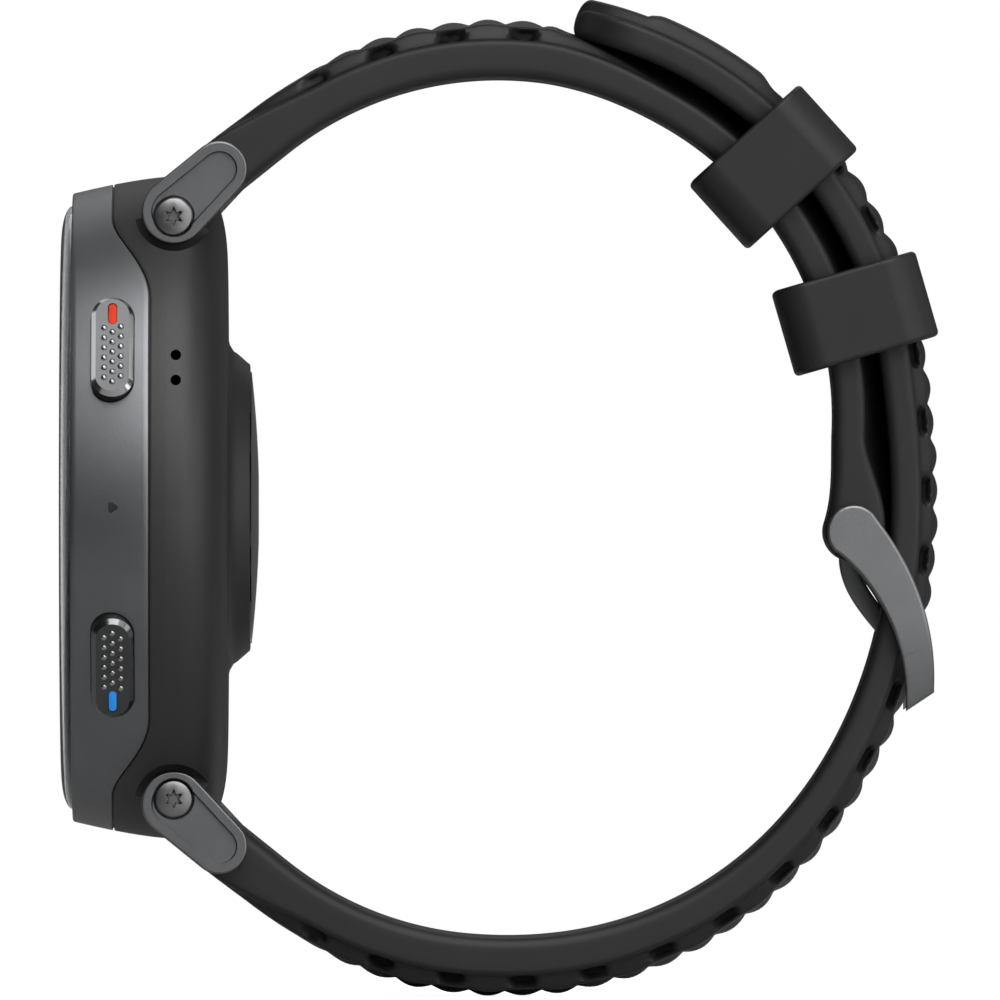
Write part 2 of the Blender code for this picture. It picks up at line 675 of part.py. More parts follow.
def make_screw(name, side, spot, seat, material):
    """A flat-headed screw with a star socket, turned on its own axis and laid along X."""
    top = seat + SCREW_HEAD_HEIGHT
    profile = [
        (SCREW_HEAD_RADIUS - SCREW_CHAMFER, top),
        (SCREW_HEAD_RADIUS, top - SCREW_CHAMFER),
        (SCREW_HEAD_RADIUS, seat),
        (SCREW_SHANK_RADIUS, seat),
        (SCREW_SHANK_RADIUS, seat - SCREW_LENGTH),
    ]
    where = {"location": (0, spot.x, spot.y), "rotation": (0, 0, -side * math.pi / 2)}
    screw = place(name, turned(profile, 16), material, **where)
    star = []
    for i in range(24):
        turn = math.tau * i / 24
        radius = SOCKET_RADIUS + SOCKET_LOBE * math.cos(6 * turn)
        star.append((radius * math.cos(turn), radius * math.sin(turn)))
    socket = loft([[(x, y, z) for x, z in star] for y in (top - SOCKET_DEPTH, top + FIT)])
    cut(screw, f"socket_{name}", socket, **where)


def make_strap_pins(material):
    half = LUG_PLANE + PIN_ENGAGEMENT
    for name, end in (("strap_pin_upper", 1), ("strap_pin_lower", -1)):
        place(name, rod(Vector((LUG_END.x, end * LUG_END.y)), PIN_RADIUS, -half, half), material)


# Strap
class Route:
    """The inner face of a strap half as a fine line, measured along the middle of its thickness."""

    def __init__(self, points, side):
        self.points = points
        self.normals = []
        self.reach = [0.0]
        for i in range(len(points)):
            ahead = points[min(i + 1, len(points) - 1)] - points[max(i - 1, 0)]
            ahead.normalize()
            self.normals.append(Vector((-ahead.y, ahead.x)) * side)
        middles = [p + n * STRAP_WALL / 2 for p, n in zip(self.points, self.normals)]
        for before, after in zip(middles, middles[1:]):
            self.reach.append(self.reach[-1] + (after - before).length)

    @property
    def length(self):
        return self.reach[-1]

    def at(self, distance):
        """The point and outward normal this far from the lug pin; it runs straight past either end."""
        if distance <= 0:
            ahead = (self.points[1] - self.points[0]).normalized()
            return self.points[0] + ahead * distance, self.normals[0]
        if distance >= self.length:
            ahead = (self.points[-1] - self.points[-2]).normalized()
            return self.points[-1] + ahead * (distance - self.length), self.normals[-1]
        i = next(i for i, reach in enumerate(self.reach) if reach > distance)
        share = (distance - self.reach[i - 1]) / (self.reach[i] - self.reach[i - 1])
        point = self.points[i - 1].lerp(self.points[i], share)
        return point, self.normals[i - 1].lerp(self.normals[i], share)

    def nearest(self, spot):
        """How far along the route this spot lies."""
        i = min(range(len(self.points)), key=lambda i: (self.points[i] - spot).length)
        return self.reach[i]


def buckle_pin_spot():
    return polar(WRIST_CENTRE, BUCKLE_PIN_REACH, BUCKLE_ANGLE)


def upper_route():
    root = LUG_END - LUG_END_RADIUS * OUTWARD
    run = [root + ALONG * STRAP_RUN * i / 4 for i in range(4)]
    return Route(run + arc(WRIST_CENTRE, WRIST_RADIUS, 90 + STRAP_HEADING, BUCKLE_ANGLE, 150), 1)


def lower_route():
    """Like the upper half at first, then out past the buckle and over the upper half."""
    root = LUG_END - LUG_END_RADIUS * OUTWARD
    run = mirrored([root + ALONG * STRAP_RUN * i / 4 for i in range(4)], -1)
    turn = arc(LOWER_CENTRE, WRIST_RADIUS, -90 - STRAP_HEADING, TAIL_LEAVES, 40)
    past_bulb = BUCKLE_PIN_REACH + BULB_RADIUS + TAIL_GAP + SEAM
    passing = polar(WRIST_CENTRE, past_bulb, BUCKLE_ANGLE)
    joining = polar(WRIST_CENTRE, TAIL_RADIUS, TAIL_JOINS)
    swing = (passing - turn[-1]).length * TAIL_BULGE
    pass_way = heading_vector(PASS_HEADING)
    first = bezier(turn[-1], heading_vector(TAIL_LEAVES + 90) * swing, passing, pass_way * swing, 60)
    settle = (joining - passing).length / 3
    second = bezier(passing, pass_way * settle, joining, heading_vector(TAIL_JOINS + 90) * settle, 24)
    tail = arc(WRIST_CENTRE, TAIL_RADIUS, TAIL_JOINS, TAIL_TIP, 70)
    return Route(run + turn + first[1:] + second[1:] + tail[1:], -1)


def fade(value, start, end):
    share = min(max((value - start) / (end - start), 0), 1)
    return share * share * (3 - 2 * share)


def pattern_strength(distance, bumps_to):
    """The bumps rise after the lug and stop at the end of their field."""
    return fade(distance, 0, 2 * BUMPS_FROM) * (1 - fade(distance, bumps_to - BUMP_PITCH / 2, bumps_to))


def strap_section(route, distance, lift, half, wall, crown, bump):
    """One loop of points round the strap at this distance from the lug pin."""
    point, normal = route.at(distance)
    edge = min(STRAP_EDGE, wall / 3)
    shape = [(-half + edge, 0), (half - edge, 0), (half, edge), (half, wall - edge)]
    last_row = BUMP_ROW * BUMP_ROWS / 2
    for i in range(BUMP_ROWS, -BUMP_ROWS - 1, -1):
        x = min(BUMP_ROW / 2, (half - 2 * edge) / BUMP_ROWS) * i
        row = BUMP_ROW / 2 * i
        dome = 1 - (row / last_row) ** 2
        egg = math.cos(math.tau * (distance - FIRST_BUMP) / BUMP_PITCH) * math.cos(math.pi * row / BUMP_ROW)
        shape.append((x, wall + crown * dome + bump * egg))
    shape += [(-half, wall - edge), (-half, edge)]
    loop = []
    for x, height in shape:
        spot = point + normal * (lift + height)
        loop.append((x, spot.x, spot.y))
    return loop


def stations(length, bumps_to):
    """Distances along a strap: fine over the bumps, coarse elsewhere."""
    quarter = BUMP_PITCH / 4
    first = FIRST_BUMP + quarter * math.ceil((BUMPS_FROM - FIRST_BUMP) / quarter)
    bumps = [first + quarter * i for i in range(int((bumps_to - first) / quarter) + 1)]
    before = [bumps[0] * i / 3 for i in range(3)]
    steps = max(int((length - bumps[-1]) / SMOOTH_STEP), 2)
    after = [bumps[-1] + (length - bumps[-1]) * i / steps for i in range(1, steps + 1)]
    return before + bumps + after


def end_round(radius, sign):
    """Steps over a round end: (distance past the centre, half thickness)."""
    turns = [math.radians(angle) for angle in ROUND_END_STEPS]
    steps = [(sign * radius * math.cos(turn), radius * math.sin(turn)) for turn in turns]
    return steps if sign < 0 else steps[::-1]


def root_wall(distance):
    return STRAP_WALL + (2 * LUG_END_RADIUS - STRAP_WALL) * (1 - fade(distance, 0, ROOT_FADE))


def half_width_at(distance, length):
    root = STRAP_WIDTH / 2 - FIT / 2
    return root + (STRAP_END_WIDTH / 2 - root) * fade(distance, 0, length / 2)


def root_loops(route):
    half = half_width_at(0, route.length)
    loops = []
    for past, thick in end_round(LUG_END_RADIUS, -1):
        loops.append(strap_section(route, past, LUG_END_RADIUS - thick, half, 2 * thick, 0, 0))
    return loops


def make_upper_strap(material):
    route = upper_route()
    end = route.length
    bumps_to = route.nearest(polar(WRIST_CENTRE, WRIST_RADIUS, TAIL_TIP))
    loops = root_loops(route)
    bulb_lift = BUCKLE_PIN_RISE - BULB_RADIUS
    for distance in stations(end, bumps_to):
        swell = fade(distance, end - BULB_FADE, end)
        patterned = pattern_strength(distance, bumps_to)
        wall = root_wall(distance) + (2 * BULB_RADIUS - STRAP_WALL) * swell
        crown = LINING_CROWN * (1 - swell) + (CROWN - LINING_CROWN) * patterned
        crown *= fade(distance, 0, ROOT_FADE)
        half = half_width_at(distance, end)
        bump = BUMP * patterned
        loops.append(strap_section(route, distance, bulb_lift * swell, half, wall, crown, bump))
    for past, thick in end_round(BULB_RADIUS, 1):
        lift = BUCKLE_PIN_RISE - thick
        loops.append(strap_section(route, end + past, lift, STRAP_END_WIDTH / 2, 2 * thick, 0, 0))
    strap = place("strap_upper", loft(loops), material)
    reach = STRAP_WIDTH
    cut(strap, "lug_pin_bore_upper", rod(LUG_END, PIN_RADIUS + SEAM, -reach, reach))
    cut(strap, "buckle_pin_bore", rod(buckle_pin_spot(), PIN_RADIUS + SEAM, -reach, reach))
    half = TONGUE_WIDTH / 2 + SLIP
    slot = circle(buckle_pin_spot(), BULB_RADIUS + SLIP, 16)
    cut(strap, "tongue_slot", plate(slot, -half, half))


def lower_heights(route, distance):
    """Side wall and crown of the lower half: it thins towards the buckle and has a ridge on its tail."""
    buckle = route.nearest(polar(WRIST_CENTRE, TAIL_RADIUS, BUCKLE_ANGLE))
    thin = fade(distance, buckle / 3, buckle - BUCKLE_LENGTH)
    wall = root_wall(distance) + (TAIL_WALL - STRAP_WALL) * thin
    crown = (CROWN + (TAIL_CROWN - CROWN) * thin) * fade(distance, 0, ROOT_FADE)
    low, high = (route.nearest(polar(WRIST_CENTRE, TAIL_RADIUS, angle)) for angle in (RIDGE_FROM, RIDGE_TO))
    ridge = fade(distance, low, low + SMOOTH_STEP) * (1 - fade(distance, high - SMOOTH_STEP, high))
    return wall, crown + RIDGE * ridge


def make_lower_strap(material):
    route = lower_route()
    end = route.length
    bumps_to = route.nearest(polar(WRIST_CENTRE, TAIL_RADIUS, KEEPER_ANGLES["keeper_upper"]))
    loops = root_loops(route)
    for distance in stations(end - TIP_CORNER, bumps_to):
        patterned = pattern_strength(distance, bumps_to)
        wall, crown = lower_heights(route, distance)
        half = half_width_at(distance, end)
        loops.append(strap_section(route, distance, 0, half, wall, crown, BUMP * patterned))
    for angle in TIP_STEPS:
        turn = math.radians(angle)
        distance = end - TIP_CORNER * (1 - math.sin(turn))
        half = STRAP_END_WIDTH / 2 - TIP_CORNER * (1 - math.cos(turn))
        crown = TAIL_CROWN * math.cos(turn)
        loops.append(strap_section(route, distance, 0, half, TAIL_WALL, crown, 0))
    strap = place("strap_lower", loft(loops), material)
    pin = Vector((LUG_END.x, -LUG_END.y))
    cut(strap, "lug_pin_bore_lower", rod(pin, PIN_RADIUS + SEAM, -STRAP_WIDTH, STRAP_WIDTH))
    cut(strap, "tongue_hole", tongue_blade(TONGUE_PLAY))
    for number in range(-HOLES_EACH_WAY, HOLES_EACH_WAY + 1):
        if number:
            point, normal = route.at(hole_distance(route) + number * BUMP_PITCH)
            turn = math.atan2(normal.y, normal.x)
            hole = turned([(HOLE_RADIUS, -TAIL_THICKNESS), (HOLE_RADIUS, 2 * TAIL_THICKNESS)], 10)
            cut(strap, f"hole_{number + HOLES_EACH_WAY}", hole, location=(0, *point), rotation=(turn, 0, 0))


# Buckle, in place round its pin
def bar_spot():
    """The bar lies outside the lower strap, one buckle length from the pin."""
    route = lower_route()
    pin = buckle_pin_spot()
    high = route.nearest(polar(WRIST_CENTRE, TAIL_RADIUS, BUCKLE_ANGLE))
    low = high / 2
    spot = pin
    for _ in range(30):
        middle = (low + high) / 2
        point, normal = route.at(middle)
        spot = point + normal * (sum(lower_heights(route, middle)) + BUMP + FIT + BAR_RADIUS)
        if (spot - pin).length > BUCKLE_LENGTH:
            low = middle
        else:
            high = middle
    return spot


def tongue_line():
    pin = buckle_pin_spot()
    bar = bar_spot()
    tip = bar + (pin - bar).normalized() * (BAR_RADIUS + TONGUE_THICKNESS)
    start = heading_vector(TONGUE_START_HEADING) * TONGUE_START_PULL
    return bezier(pin, start, tip, heading_vector(TONGUE_END_HEADING) * TONGUE_END_PULL, 12)


def tongue_blade(grow):
    """The tongue's bent blade as a solid, grown all round and past its tip to cut its hole."""
    points = tongue_line()[1:]
    points[-1] = points[-1] + (points[-1] - points[-2]).normalized() * grow
    line = Route(points, 1)
    half = TONGUE_WIDTH / 2 + grow
    thick = TONGUE_THICKNESS / 2 + grow
    loops = []
    for point, normal in zip(line.points, line.normals):
        corners = ((-half, -thick), (half, -thick), (half, thick), (-half, thick))
        loops.append([(x, *(point + normal * h)) for x, h in corners])
    return loft(loops)


def hole_distance(route):
    """Where the tongue passes the middle of the lower strap."""
    middles = [p + n * STRAP_WALL / 2 for p, n in zip(route.points, route.normals)]
    line = tongue_line()[4:]
    gaps = [(min((m - spot).length for spot in line), reach) for m, reach in zip(middles, route.reach)]
    return min(gaps)[1]


def inward(chord):
    """Square to a chord of the buckle, towards the wrist."""
    return Vector((chord.y, -chord.x)).normalized()


def arm_outline():
    """A curved arm that tapers from the pin to the bar, which lies in the outer half of its end."""
    pin, bar = buckle_pin_spot(), bar_spot()
    last = bar + inward(bar - pin) * BAR_OFFSET
    chord = last - pin
    depth = math.sqrt(max(ARM_BOW**2 - chord.length_squared / 4, 0))
    centre = pin + chord / 2 + inward(chord) * depth
    start = math.degrees(math.atan2(*reversed(pin - centre)))
    end = math.degrees(math.atan2(*reversed(last - centre)))
    outer, inner = [], []
    for i in range(9):
        angle = start + (end - start) * i / 8
        half = ARM_RADIUS + (ARM_END_RADIUS - ARM_RADIUS) * (i / 8) ** ARM_TAPER
        outer.append(polar(centre, ARM_BOW + half, angle))
        inner.append(polar(centre, ARM_BOW - half, angle))
    ahead = heading_vector(end - 90)
    outer.append(outer[-1] + ahead * ARM_PAST_BAR)
    inner.append(inner[-1] + ahead * (ARM_PAST_BAR + ARM_TOE))
    round_pin = arc(pin, ARM_RADIUS, start + 180, start, 8)[1:-1]
    return outer + inner[::-1] + round_pin


def shrink(outline, by):
    """Draw an outline in by a small chamfer."""
    small = []
    for i, point in enumerate(outline):
        before, after = outline[i - 1], outline[(i + 1) % len(outline)]
        ahead = (after - before).normalized()
        small.append(point + inward(ahead) * by)
    return small


def make_buckle(materials):
    pin, bar = buckle_pin_spot(), bar_spot()
    axis = joint_axis("buckle_axis", (0, *pin))
    centre = Vector((0, 0))
    inner = STRAP_END_WIDTH / 2 + SLIP
    outer = inner + ARM_THICKNESS
    pin_end = outer - ARM_SKIN
    outline = [point - pin for point in arm_outline()]
    small = shrink(outline, ARM_CHAMFER)
    rail = rod(bar - pin, BAR_RADIUS, -inner - FIT, inner + FIT, 16)
    frame = place("buckle_frame", rail, materials["buckle"], axis)
    for side in (-1, 1):
        xs = [side * x for x in (inner, outer - ARM_CHAMFER, outer)]
        cut(frame, f"arm_{side + 1}", slab([outline, outline, small], xs), "UNION", parent=axis)
        bore = rod(centre, PIN_RADIUS + SEAM, side * (inner - FIT), side * pin_end)
        cut(frame, f"arm_bore_{side + 1}", bore, parent=axis)
    shaft = rod(centre, PIN_RADIUS, SEAM - pin_end, pin_end - SEAM)
    place("buckle_pin", shaft, materials["steel"], axis)
    loop = tube(TONGUE_LOOP_RADIUS, PIN_RADIUS + SEAM, -TONGUE_WIDTH / 2, TONGUE_WIDTH / 2)
    tongue = place("buckle_tongue", loop, materials["buckle"], axis)
    cut(tongue, "blade", tongue_blade(0), "UNION")


# Keepers, in a frame whose +Y is the wrist radius
def make_keeper(name, material, axis):
    half = STRAP_END_WIDTH / 2 + SLIP
    opening_low = WRIST_RADIUS - SLIP
    opening_high = TAIL_RADIUS + TAIL_THICKNESS + FIT
    low = Vector((-half - KEEPER_SIDE, opening_low - KEEPER_INNER_BAND))
    high = Vector((half + KEEPER_SIDE, opening_high + KEEPER_OUTER_BAND))
    hole = rounded_box(Vector((-half, opening_low)), Vector((half, opening_high)), KEEPER_CHAMFER)
    full = rounded_box(low, high, KEEPER_CORNER)
    inset = Vector((KEEPER_CHAMFER, KEEPER_CHAMFER))
    small = rounded_box(low + inset, high - inset, KEEPER_CORNER - KEEPER_CHAMFER)
    end = KEEPER_LENGTH / 2
    straight = end - KEEPER_CHAMFER
    levels = ((hole, -end), (small, -end), (full, -straight), (full, straight), (small, end), (hole, end))
    loops = [[(p.x, p.y, z) for p in outline] for outline, z in levels]
    turn = math.radians(KEEPER_ANGLES[name])
    place(name, loft(loops, closed=True), material, axis, rotation=(turn, 0, 0))


def main():
    for leftover in list(bpy.data.objects):
        bpy.data.objects.remove(leftover)
    aluminium = finish("blasted_aluminium", (0.13, 0.135, 0.14), 0.45, 1.0)
    polymer = finish("charcoal_polymer", (0.03, 0.03, 0.032), 0.6)
    silicone = finish("black_silicone", (0.018, 0.018, 0.02), 0.7)
    steel = finish("steel", (0.4, 0.4, 0.41), 0.35, 1.0)
    gunmetal = finish("gunmetal", (0.12, 0.12, 0.125), 0.45, 1.0)
    satin = finish("satin_grey", (0.2, 0.2, 0.205), 0.4, 1.0)
    glass = finish("cover_glass", (0.01, 0.01, 0.012), 0.08)
    seal = finish("seal_rubber", (0.02, 0.02, 0.02), 0.8)
    inside = {
        "display": finish("display", (0.005, 0.005, 0.006), 0.2),
        "carrier": finish("carrier_plastic", (0.1, 0.1, 0.1), 0.6),
        "board": finish("circuit_board", (0.02, 0.12, 0.05), 0.5),
        "battery": finish("battery_foil", (0.5, 0.5, 0.52), 0.4, 1.0),
        "copper": finish("copper", (0.7, 0.35, 0.18), 0.35, 1.0),
        "can": finish("metal_can", (0.55, 0.55, 0.56), 0.35, 1.0),
    }
    buttons = {
        "button": finish("button_aluminium", (0.22, 0.22, 0.225), 0.4, 1.0),
        "mark_upper": finish("orange_red", (1.0, 0.07, 0.02), 0.5),
        "mark_lower": finish("blue", (0.04, 0.33, 0.95), 0.5),
        "rubber": seal,
        "steel": steel,
        "can": inside["can"],
    }
    axes = {side: button_axis(side, sign) for side, sign in (("upper", 1), ("lower", -1))}
    make_glass(glass)
    make_bezel(aluminium, axes)
    make_case_seal(seal)
    make_rear_case(polymer)
    make_sensor(glass, inside["board"])
    make_contacts(steel)
    make_stack(inside)
    make_modules(inside)
    make_button("upper", 1, axes["upper"], buttons)
    make_button("lower", -1, axes["lower"], buttons)
    for side, end in ((1, 1), (1, -1), (-1, 1), (-1, -1)):
        make_lug(side, end, {"lug": gunmetal, "screw": steel})
    make_strap_pins(steel)
    make_upper_strap(silicone)
    make_lower_strap(silicone)
    make_buckle({"buckle": satin, "steel": steel})
    wrist_axis = joint_axis("wrist_axis", (0, *WRIST_CENTRE))
    for name in KEEPER_ANGLES:
        make_keeper(name, silicone, wrist_axis)


main()
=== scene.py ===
import math
from bisect import bisect_right
from contextlib import contextmanager

import bpy
from mathutils import Matrix, Vector


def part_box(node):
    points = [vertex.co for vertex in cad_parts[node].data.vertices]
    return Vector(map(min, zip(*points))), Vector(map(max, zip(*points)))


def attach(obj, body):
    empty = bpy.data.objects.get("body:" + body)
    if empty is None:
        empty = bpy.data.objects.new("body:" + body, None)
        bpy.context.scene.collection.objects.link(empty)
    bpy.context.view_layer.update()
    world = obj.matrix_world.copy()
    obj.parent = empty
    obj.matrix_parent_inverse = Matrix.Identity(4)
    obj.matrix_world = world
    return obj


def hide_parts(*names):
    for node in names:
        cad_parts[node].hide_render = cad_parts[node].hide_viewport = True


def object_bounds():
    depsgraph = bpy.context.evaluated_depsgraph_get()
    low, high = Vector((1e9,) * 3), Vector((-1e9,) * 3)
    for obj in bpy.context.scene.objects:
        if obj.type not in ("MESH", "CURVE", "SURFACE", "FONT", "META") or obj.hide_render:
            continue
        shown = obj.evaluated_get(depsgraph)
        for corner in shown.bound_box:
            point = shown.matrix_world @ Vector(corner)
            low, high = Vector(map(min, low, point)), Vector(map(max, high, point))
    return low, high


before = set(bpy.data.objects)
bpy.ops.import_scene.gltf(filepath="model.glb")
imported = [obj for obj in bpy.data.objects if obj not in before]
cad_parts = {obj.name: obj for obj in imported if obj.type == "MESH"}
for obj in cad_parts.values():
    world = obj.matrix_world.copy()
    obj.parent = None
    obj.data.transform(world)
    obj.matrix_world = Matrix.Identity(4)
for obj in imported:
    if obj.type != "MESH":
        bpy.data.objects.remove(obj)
CAD_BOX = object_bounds()

# Clearances, in metres
SEAM = 0.0001
FIT = 0.0003
SLIP = 0.0004

# Case, read from the frame where it shows there
CASE_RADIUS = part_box("rear_case")[1].x
RIM_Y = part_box("bezel")[0].y
GLASS_FRONT_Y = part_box("front_glass")[0].y
GLASS_BACK_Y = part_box("front_glass")[1].y
GLASS_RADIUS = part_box("front_glass")[1].x
DISPLAY_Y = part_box("display_panel")[0].y
DISPLAY_BACK_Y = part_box("display_panel")[1].y
DISPLAY_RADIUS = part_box("display_panel")[1].x
MARK_FRONT = 0.00004
MARK_BACK = 0.00001
DIAL_REACH = 0.0174
BACK_Y = -0.00218
WIDEST_Y = BACK_Y - 0.0041
RIM_INSET = 0.0012
RIM_FLARE = 1.4
GLASS_FLAT_RADIUS = GLASS_RADIUS - 0.00243
GLASS_SKIRT = 0.00012
WINDOW_RADIUS = 0.0181
BEZEL_LEDGE = 0.0011
BEZEL_INNER_RADIUS = GLASS_RADIUS + SEAM - BEZEL_LEDGE
BEZEL_AT_SIDES = 0.00546
BEZEL_AT_LUGS = 0.00282
WAVE_FROM = 39.5
WAVE_TO = 63.0
SOCKET_WALL = CASE_RADIUS - 0.0023
CAVITY_RADIUS = CASE_RADIUS - 0.0038
SPIGOT_LENGTH = 0.0009
BACK_FLAT_RADIUS = CASE_RADIUS - 0.0073
BACK_ROUNDNESS = 2.83
FLOOR_Y = BACK_Y - 0.0013
PEDESTAL_RADIUS = 0.0119
PEDESTAL_FOOT = 0.00088
PEDESTAL_FOOT_RISE = 0.0004
PEDESTAL_SLOPE = 0.00175
LENS_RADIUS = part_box("sensor_lens")[1].x
LENS_SEAT_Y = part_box("sensor_lens")[0].y
LENS_DROP = 0.0005
LENS_FLAT_RADIUS = 0.0025
LENS_LEDGE = 0.0009
CASE_STEPS = 256

# Buttons
BUTTON_ANGLE = 28.5
BUTTON_Y = RIM_Y + 0.00296
BUTTON_LENGTH = 0.0079
BUTTON_WIDTH = 0.00294
BUTTON_THICKNESS = 0.00125
BUTTON_PROUD = 0.0007
BUTTON_TRAVEL = 0.0004
POCKET_GAP = 0.00008
SEAM_DEPTH = 0.0002
SEAM_CLOSING = 0.9 * SEAM
CONTACT_SINK = SEAM / 5
CAP_SHIFT = 0.0002
CAP_CHAMFER = 0.0003
STEM_RADIUS = 0.0006
SEAL_WIDTH = 0.0004
SEAL_LENGTH = 0.0005
MARK_LENGTH = 0.00158
MARK_WIDTH = 0.00056
MARK_DEPTH = 0.0003
MARK_OFFSET = 0.0027
DOT_RADIUS = 0.00023
DOT_COLUMN = 0.00058
DOT_ROW = 0.00079

# Links
LUG_END = sum(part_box("strap_pin_upper"), Vector()).yz / 2
SCREW = sum(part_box("lug_screw_upper_right"), Vector()).yz / 2
LUG_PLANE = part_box("lug_upper_right")[0].x
LUG_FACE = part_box("lug_upper_right")[1].x
LUG_ROOT = LUG_END - Vector((0.00319, 0.00298))
LUG_ROOT_RADIUS = 0.00228
LUG_END_RADIUS = 0.00197
LUG_RIM = 0.0008
LUG_RECESS = 0.0005
LUG_SLOPE = 0.0001
LUG_POCKET_GAP = 0.0005
SCREW_RADIUS = 0.00137
SCREW_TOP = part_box("lug_screw_upper_right")[1].x
SCREW_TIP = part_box("lug_screw_upper_right")[0].x
PIN_RADIUS = 0.00075
PIN_DEPTH = 0.0014

# Strap
STRAP_WIDTH = 0.022
STRAP_END_WIDTH = 0.020
STRAP_HEADING = 38.7
STRAP_RUN = 0.00439
STRAP_WALL = 0.00268
STRAP_INNER_EDGE = 0.0008
STRAP_OUTER_EDGE = 0.0004
SHOULDER_FROM = 0.985
SHOULDER_TO = 0.9
ROOT_FADE = 0.009
CROWN = 0.00116
TAIL_CROWN = 0.0009
TAIL_COVERS = 0.008
COVERED_THINNING = 0.00045
COVERED_DROP = 0.0002
LINING_CROWN = 0.0002
RIDGE = 0.0004
RIDGE_FROM = 49.6
RIDGE_TO = 70.4
RIDGE_FADE = 0.0016
BUMP = 0.00038
BUMP_PITCH = 0.00476
FIRST_BUMP = 0.0064
ROW_SHARE = 0.41
RIB_PRESS = SEAM / 5
PIT_LENGTH = 0.002
PIT_WIDTH = 0.0019
EDGE_PIT_INSET = 0.00092
EDGE_PIT_WIDTH = 0.00056
EDGE_PIT_DROP = 0.1
EDGE_PIT_PUSH = 0.45
# How much painted shade the pits at the edge and the other pits get
EDGE_PIT_SHADE = 0.7
PIT_SHADE = 0.9
PIT_DEPTH = 0.0015
TAIL_WALL = 0.0021
TAIL_GAP = 0.00045
TAIL_LEAVES = -95.0
TAIL_JOINS = 8.0
TAIL_BULGE = 0.42
TAIL_TIP = 79.0
TIP_CORNER = 0.005
TIP_ROUND = 0.0009
PASS_HEADING = 86.0
HOLE_RADIUS = 0.0011
HOLES_EACH_WAY = 3
STRAP_STEP = 0.00028
ROUND_STEPS = 14

# Buckle and keepers
BUCKLE_ANGLE = -17.96
BUCKLE_PIN_RISE = 0.0025
BULB_RADIUS = 0.0021
BULB_FADE = 0.0068
BUCKLE_LENGTH = 0.0118
BUCKLE_BAR = Vector((0.0467532, -0.012442))
ARM_RADIUS = 0.0019
ARM_END_RADIUS = 0.001
ARM_PAST_BAR = 0.0004
ARM_TOE = 0.0013
ARM_BOW = 0.0155
ARM_TAPER = 0.7
ARM_THICKNESS = 0.0015
ARM_TURN = 0.034
ARM_STRAIGHT = 0.0066
ARM_STRIP = 0.0005
ARM_SKIN = 0.0004
BAR_RADIUS = 0.00065
BAR_OFFSET = 0.00035
TONGUE_WIDTH = 0.003
TONGUE_THICKNESS = 0.0014
TONGUE_LOOP_RADIUS = 0.0016
TONGUE_PLAY = 0.00045
KEEPER_ANGLES = {"keeper_upper": 42.2, "keeper_lower": 16.1}
KEEPER_LENGTH = 0.0062
KEEPER_SIDE = 0.0017
KEEPER_INNER_BAND = 0.0024
KEEPER_OUTER_BAND = 0.00055
KEEPER_CORNER = 0.0024
KEEPER_EDGE = 0.00035

# Places that follow
OUTWARD = Vector((-math.sin(math.radians(STRAP_HEADING)), math.cos(math.radians(STRAP_HEADING))))
ALONG = Vector((OUTWARD.y, -OUTWARD.x))
WRIST_RADIUS = 0.02378
WRIST = LUG_END + STRAP_RUN * ALONG - (WRIST_RADIUS + LUG_END_RADIUS) * OUTWARD
LOWER_WRIST = Vector((WRIST.x, -WRIST.y))
TAIL_RADIUS = WRIST_RADIUS + STRAP_WALL + LINING_CROWN + TAIL_GAP
TAIL_THICKNESS = 0.0034

# Photograph
CAMERA_DISTANCE = 3.0
VIEW_WIDTH = 0.07042
VIEW_CENTRE = (0.01697, 0.00053)
FLOOR_SIZE = 0.3
ROOM_LEFT = 0.03
ROOM_RIGHT = 0.14


# Plane geometry, in (y, z)
def polar(centre, radius, degrees):
    turn = math.radians(degrees)
    return centre + radius * Vector((math.cos(turn), math.sin(turn)))


def arc(centre, radius, start, end, steps):
    return [polar(centre, radius, start + (end - start) * i / steps) for i in range(steps + 1)]


def heading(degrees):
    return polar(Vector((0, 0)), 1, degrees)


def fade(value, start, end):
    share = min(max((value - start) / (end - start), 0), 1)
    return share * share * (3 - 2 * share)


def bezier(start, start_pull, end, end_pull, steps):
    points = []
    for i in range(steps + 1):
        t = i / steps
        near = (1 - t) ** 3 * start + 3 * (1 - t) ** 2 * t * (start + start_pull)
        points.append(near + 3 * (1 - t) * t**2 * (end - end_pull) + t**3 * end)
    return points


def tapered_pill(one, one_radius, two, two_radius, steps=24):
    lean = two - one
    way = math.degrees(math.atan2(lean.y, lean.x))
    spread = math.degrees(math.acos((one_radius - two_radius) / lean.length))
    near = arc(one, one_radius, way + spread, way + 360 - spread, steps)
    return near + arc(two, two_radius, way - spread, way + spread, steps)


def pill(length, width, centre=(0, 0), steps=20):
    half = (length - width) / 2
    spot = Vector(centre)
    top = arc(spot + Vector((0, half)), width / 2, 0, 180, steps)
    return top + arc(spot - Vector((0, half)), width / 2, 180, 360, steps)


def mirrored(outline, end):
    return [Vector((p.x, end * p.y)) for p in outline]


# Modelling
def deselect():
    bpy.ops.object.select_all(action="DESELECT")


def named(name):
    piece = bpy.context.active_object
    piece.name = name
    piece.data.name = name
    return piece


def pick(piece):
    deselect()
    piece.select_set(True)
    bpy.context.view_layer.objects.active = piece


@contextmanager
def editing(piece):
    pick(piece)
    bpy.ops.object.mode_set(mode="EDIT")
    bpy.ops.mesh.select_all(action="SELECT")
    yield
    bpy.ops.object.mode_set(mode="OBJECT")


def turn_outward(piece):
    with editing(piece):
        bpy.ops.mesh.remove_doubles(threshold=1e-7)
        bpy.ops.mesh.normals_make_consistent(inside=False)


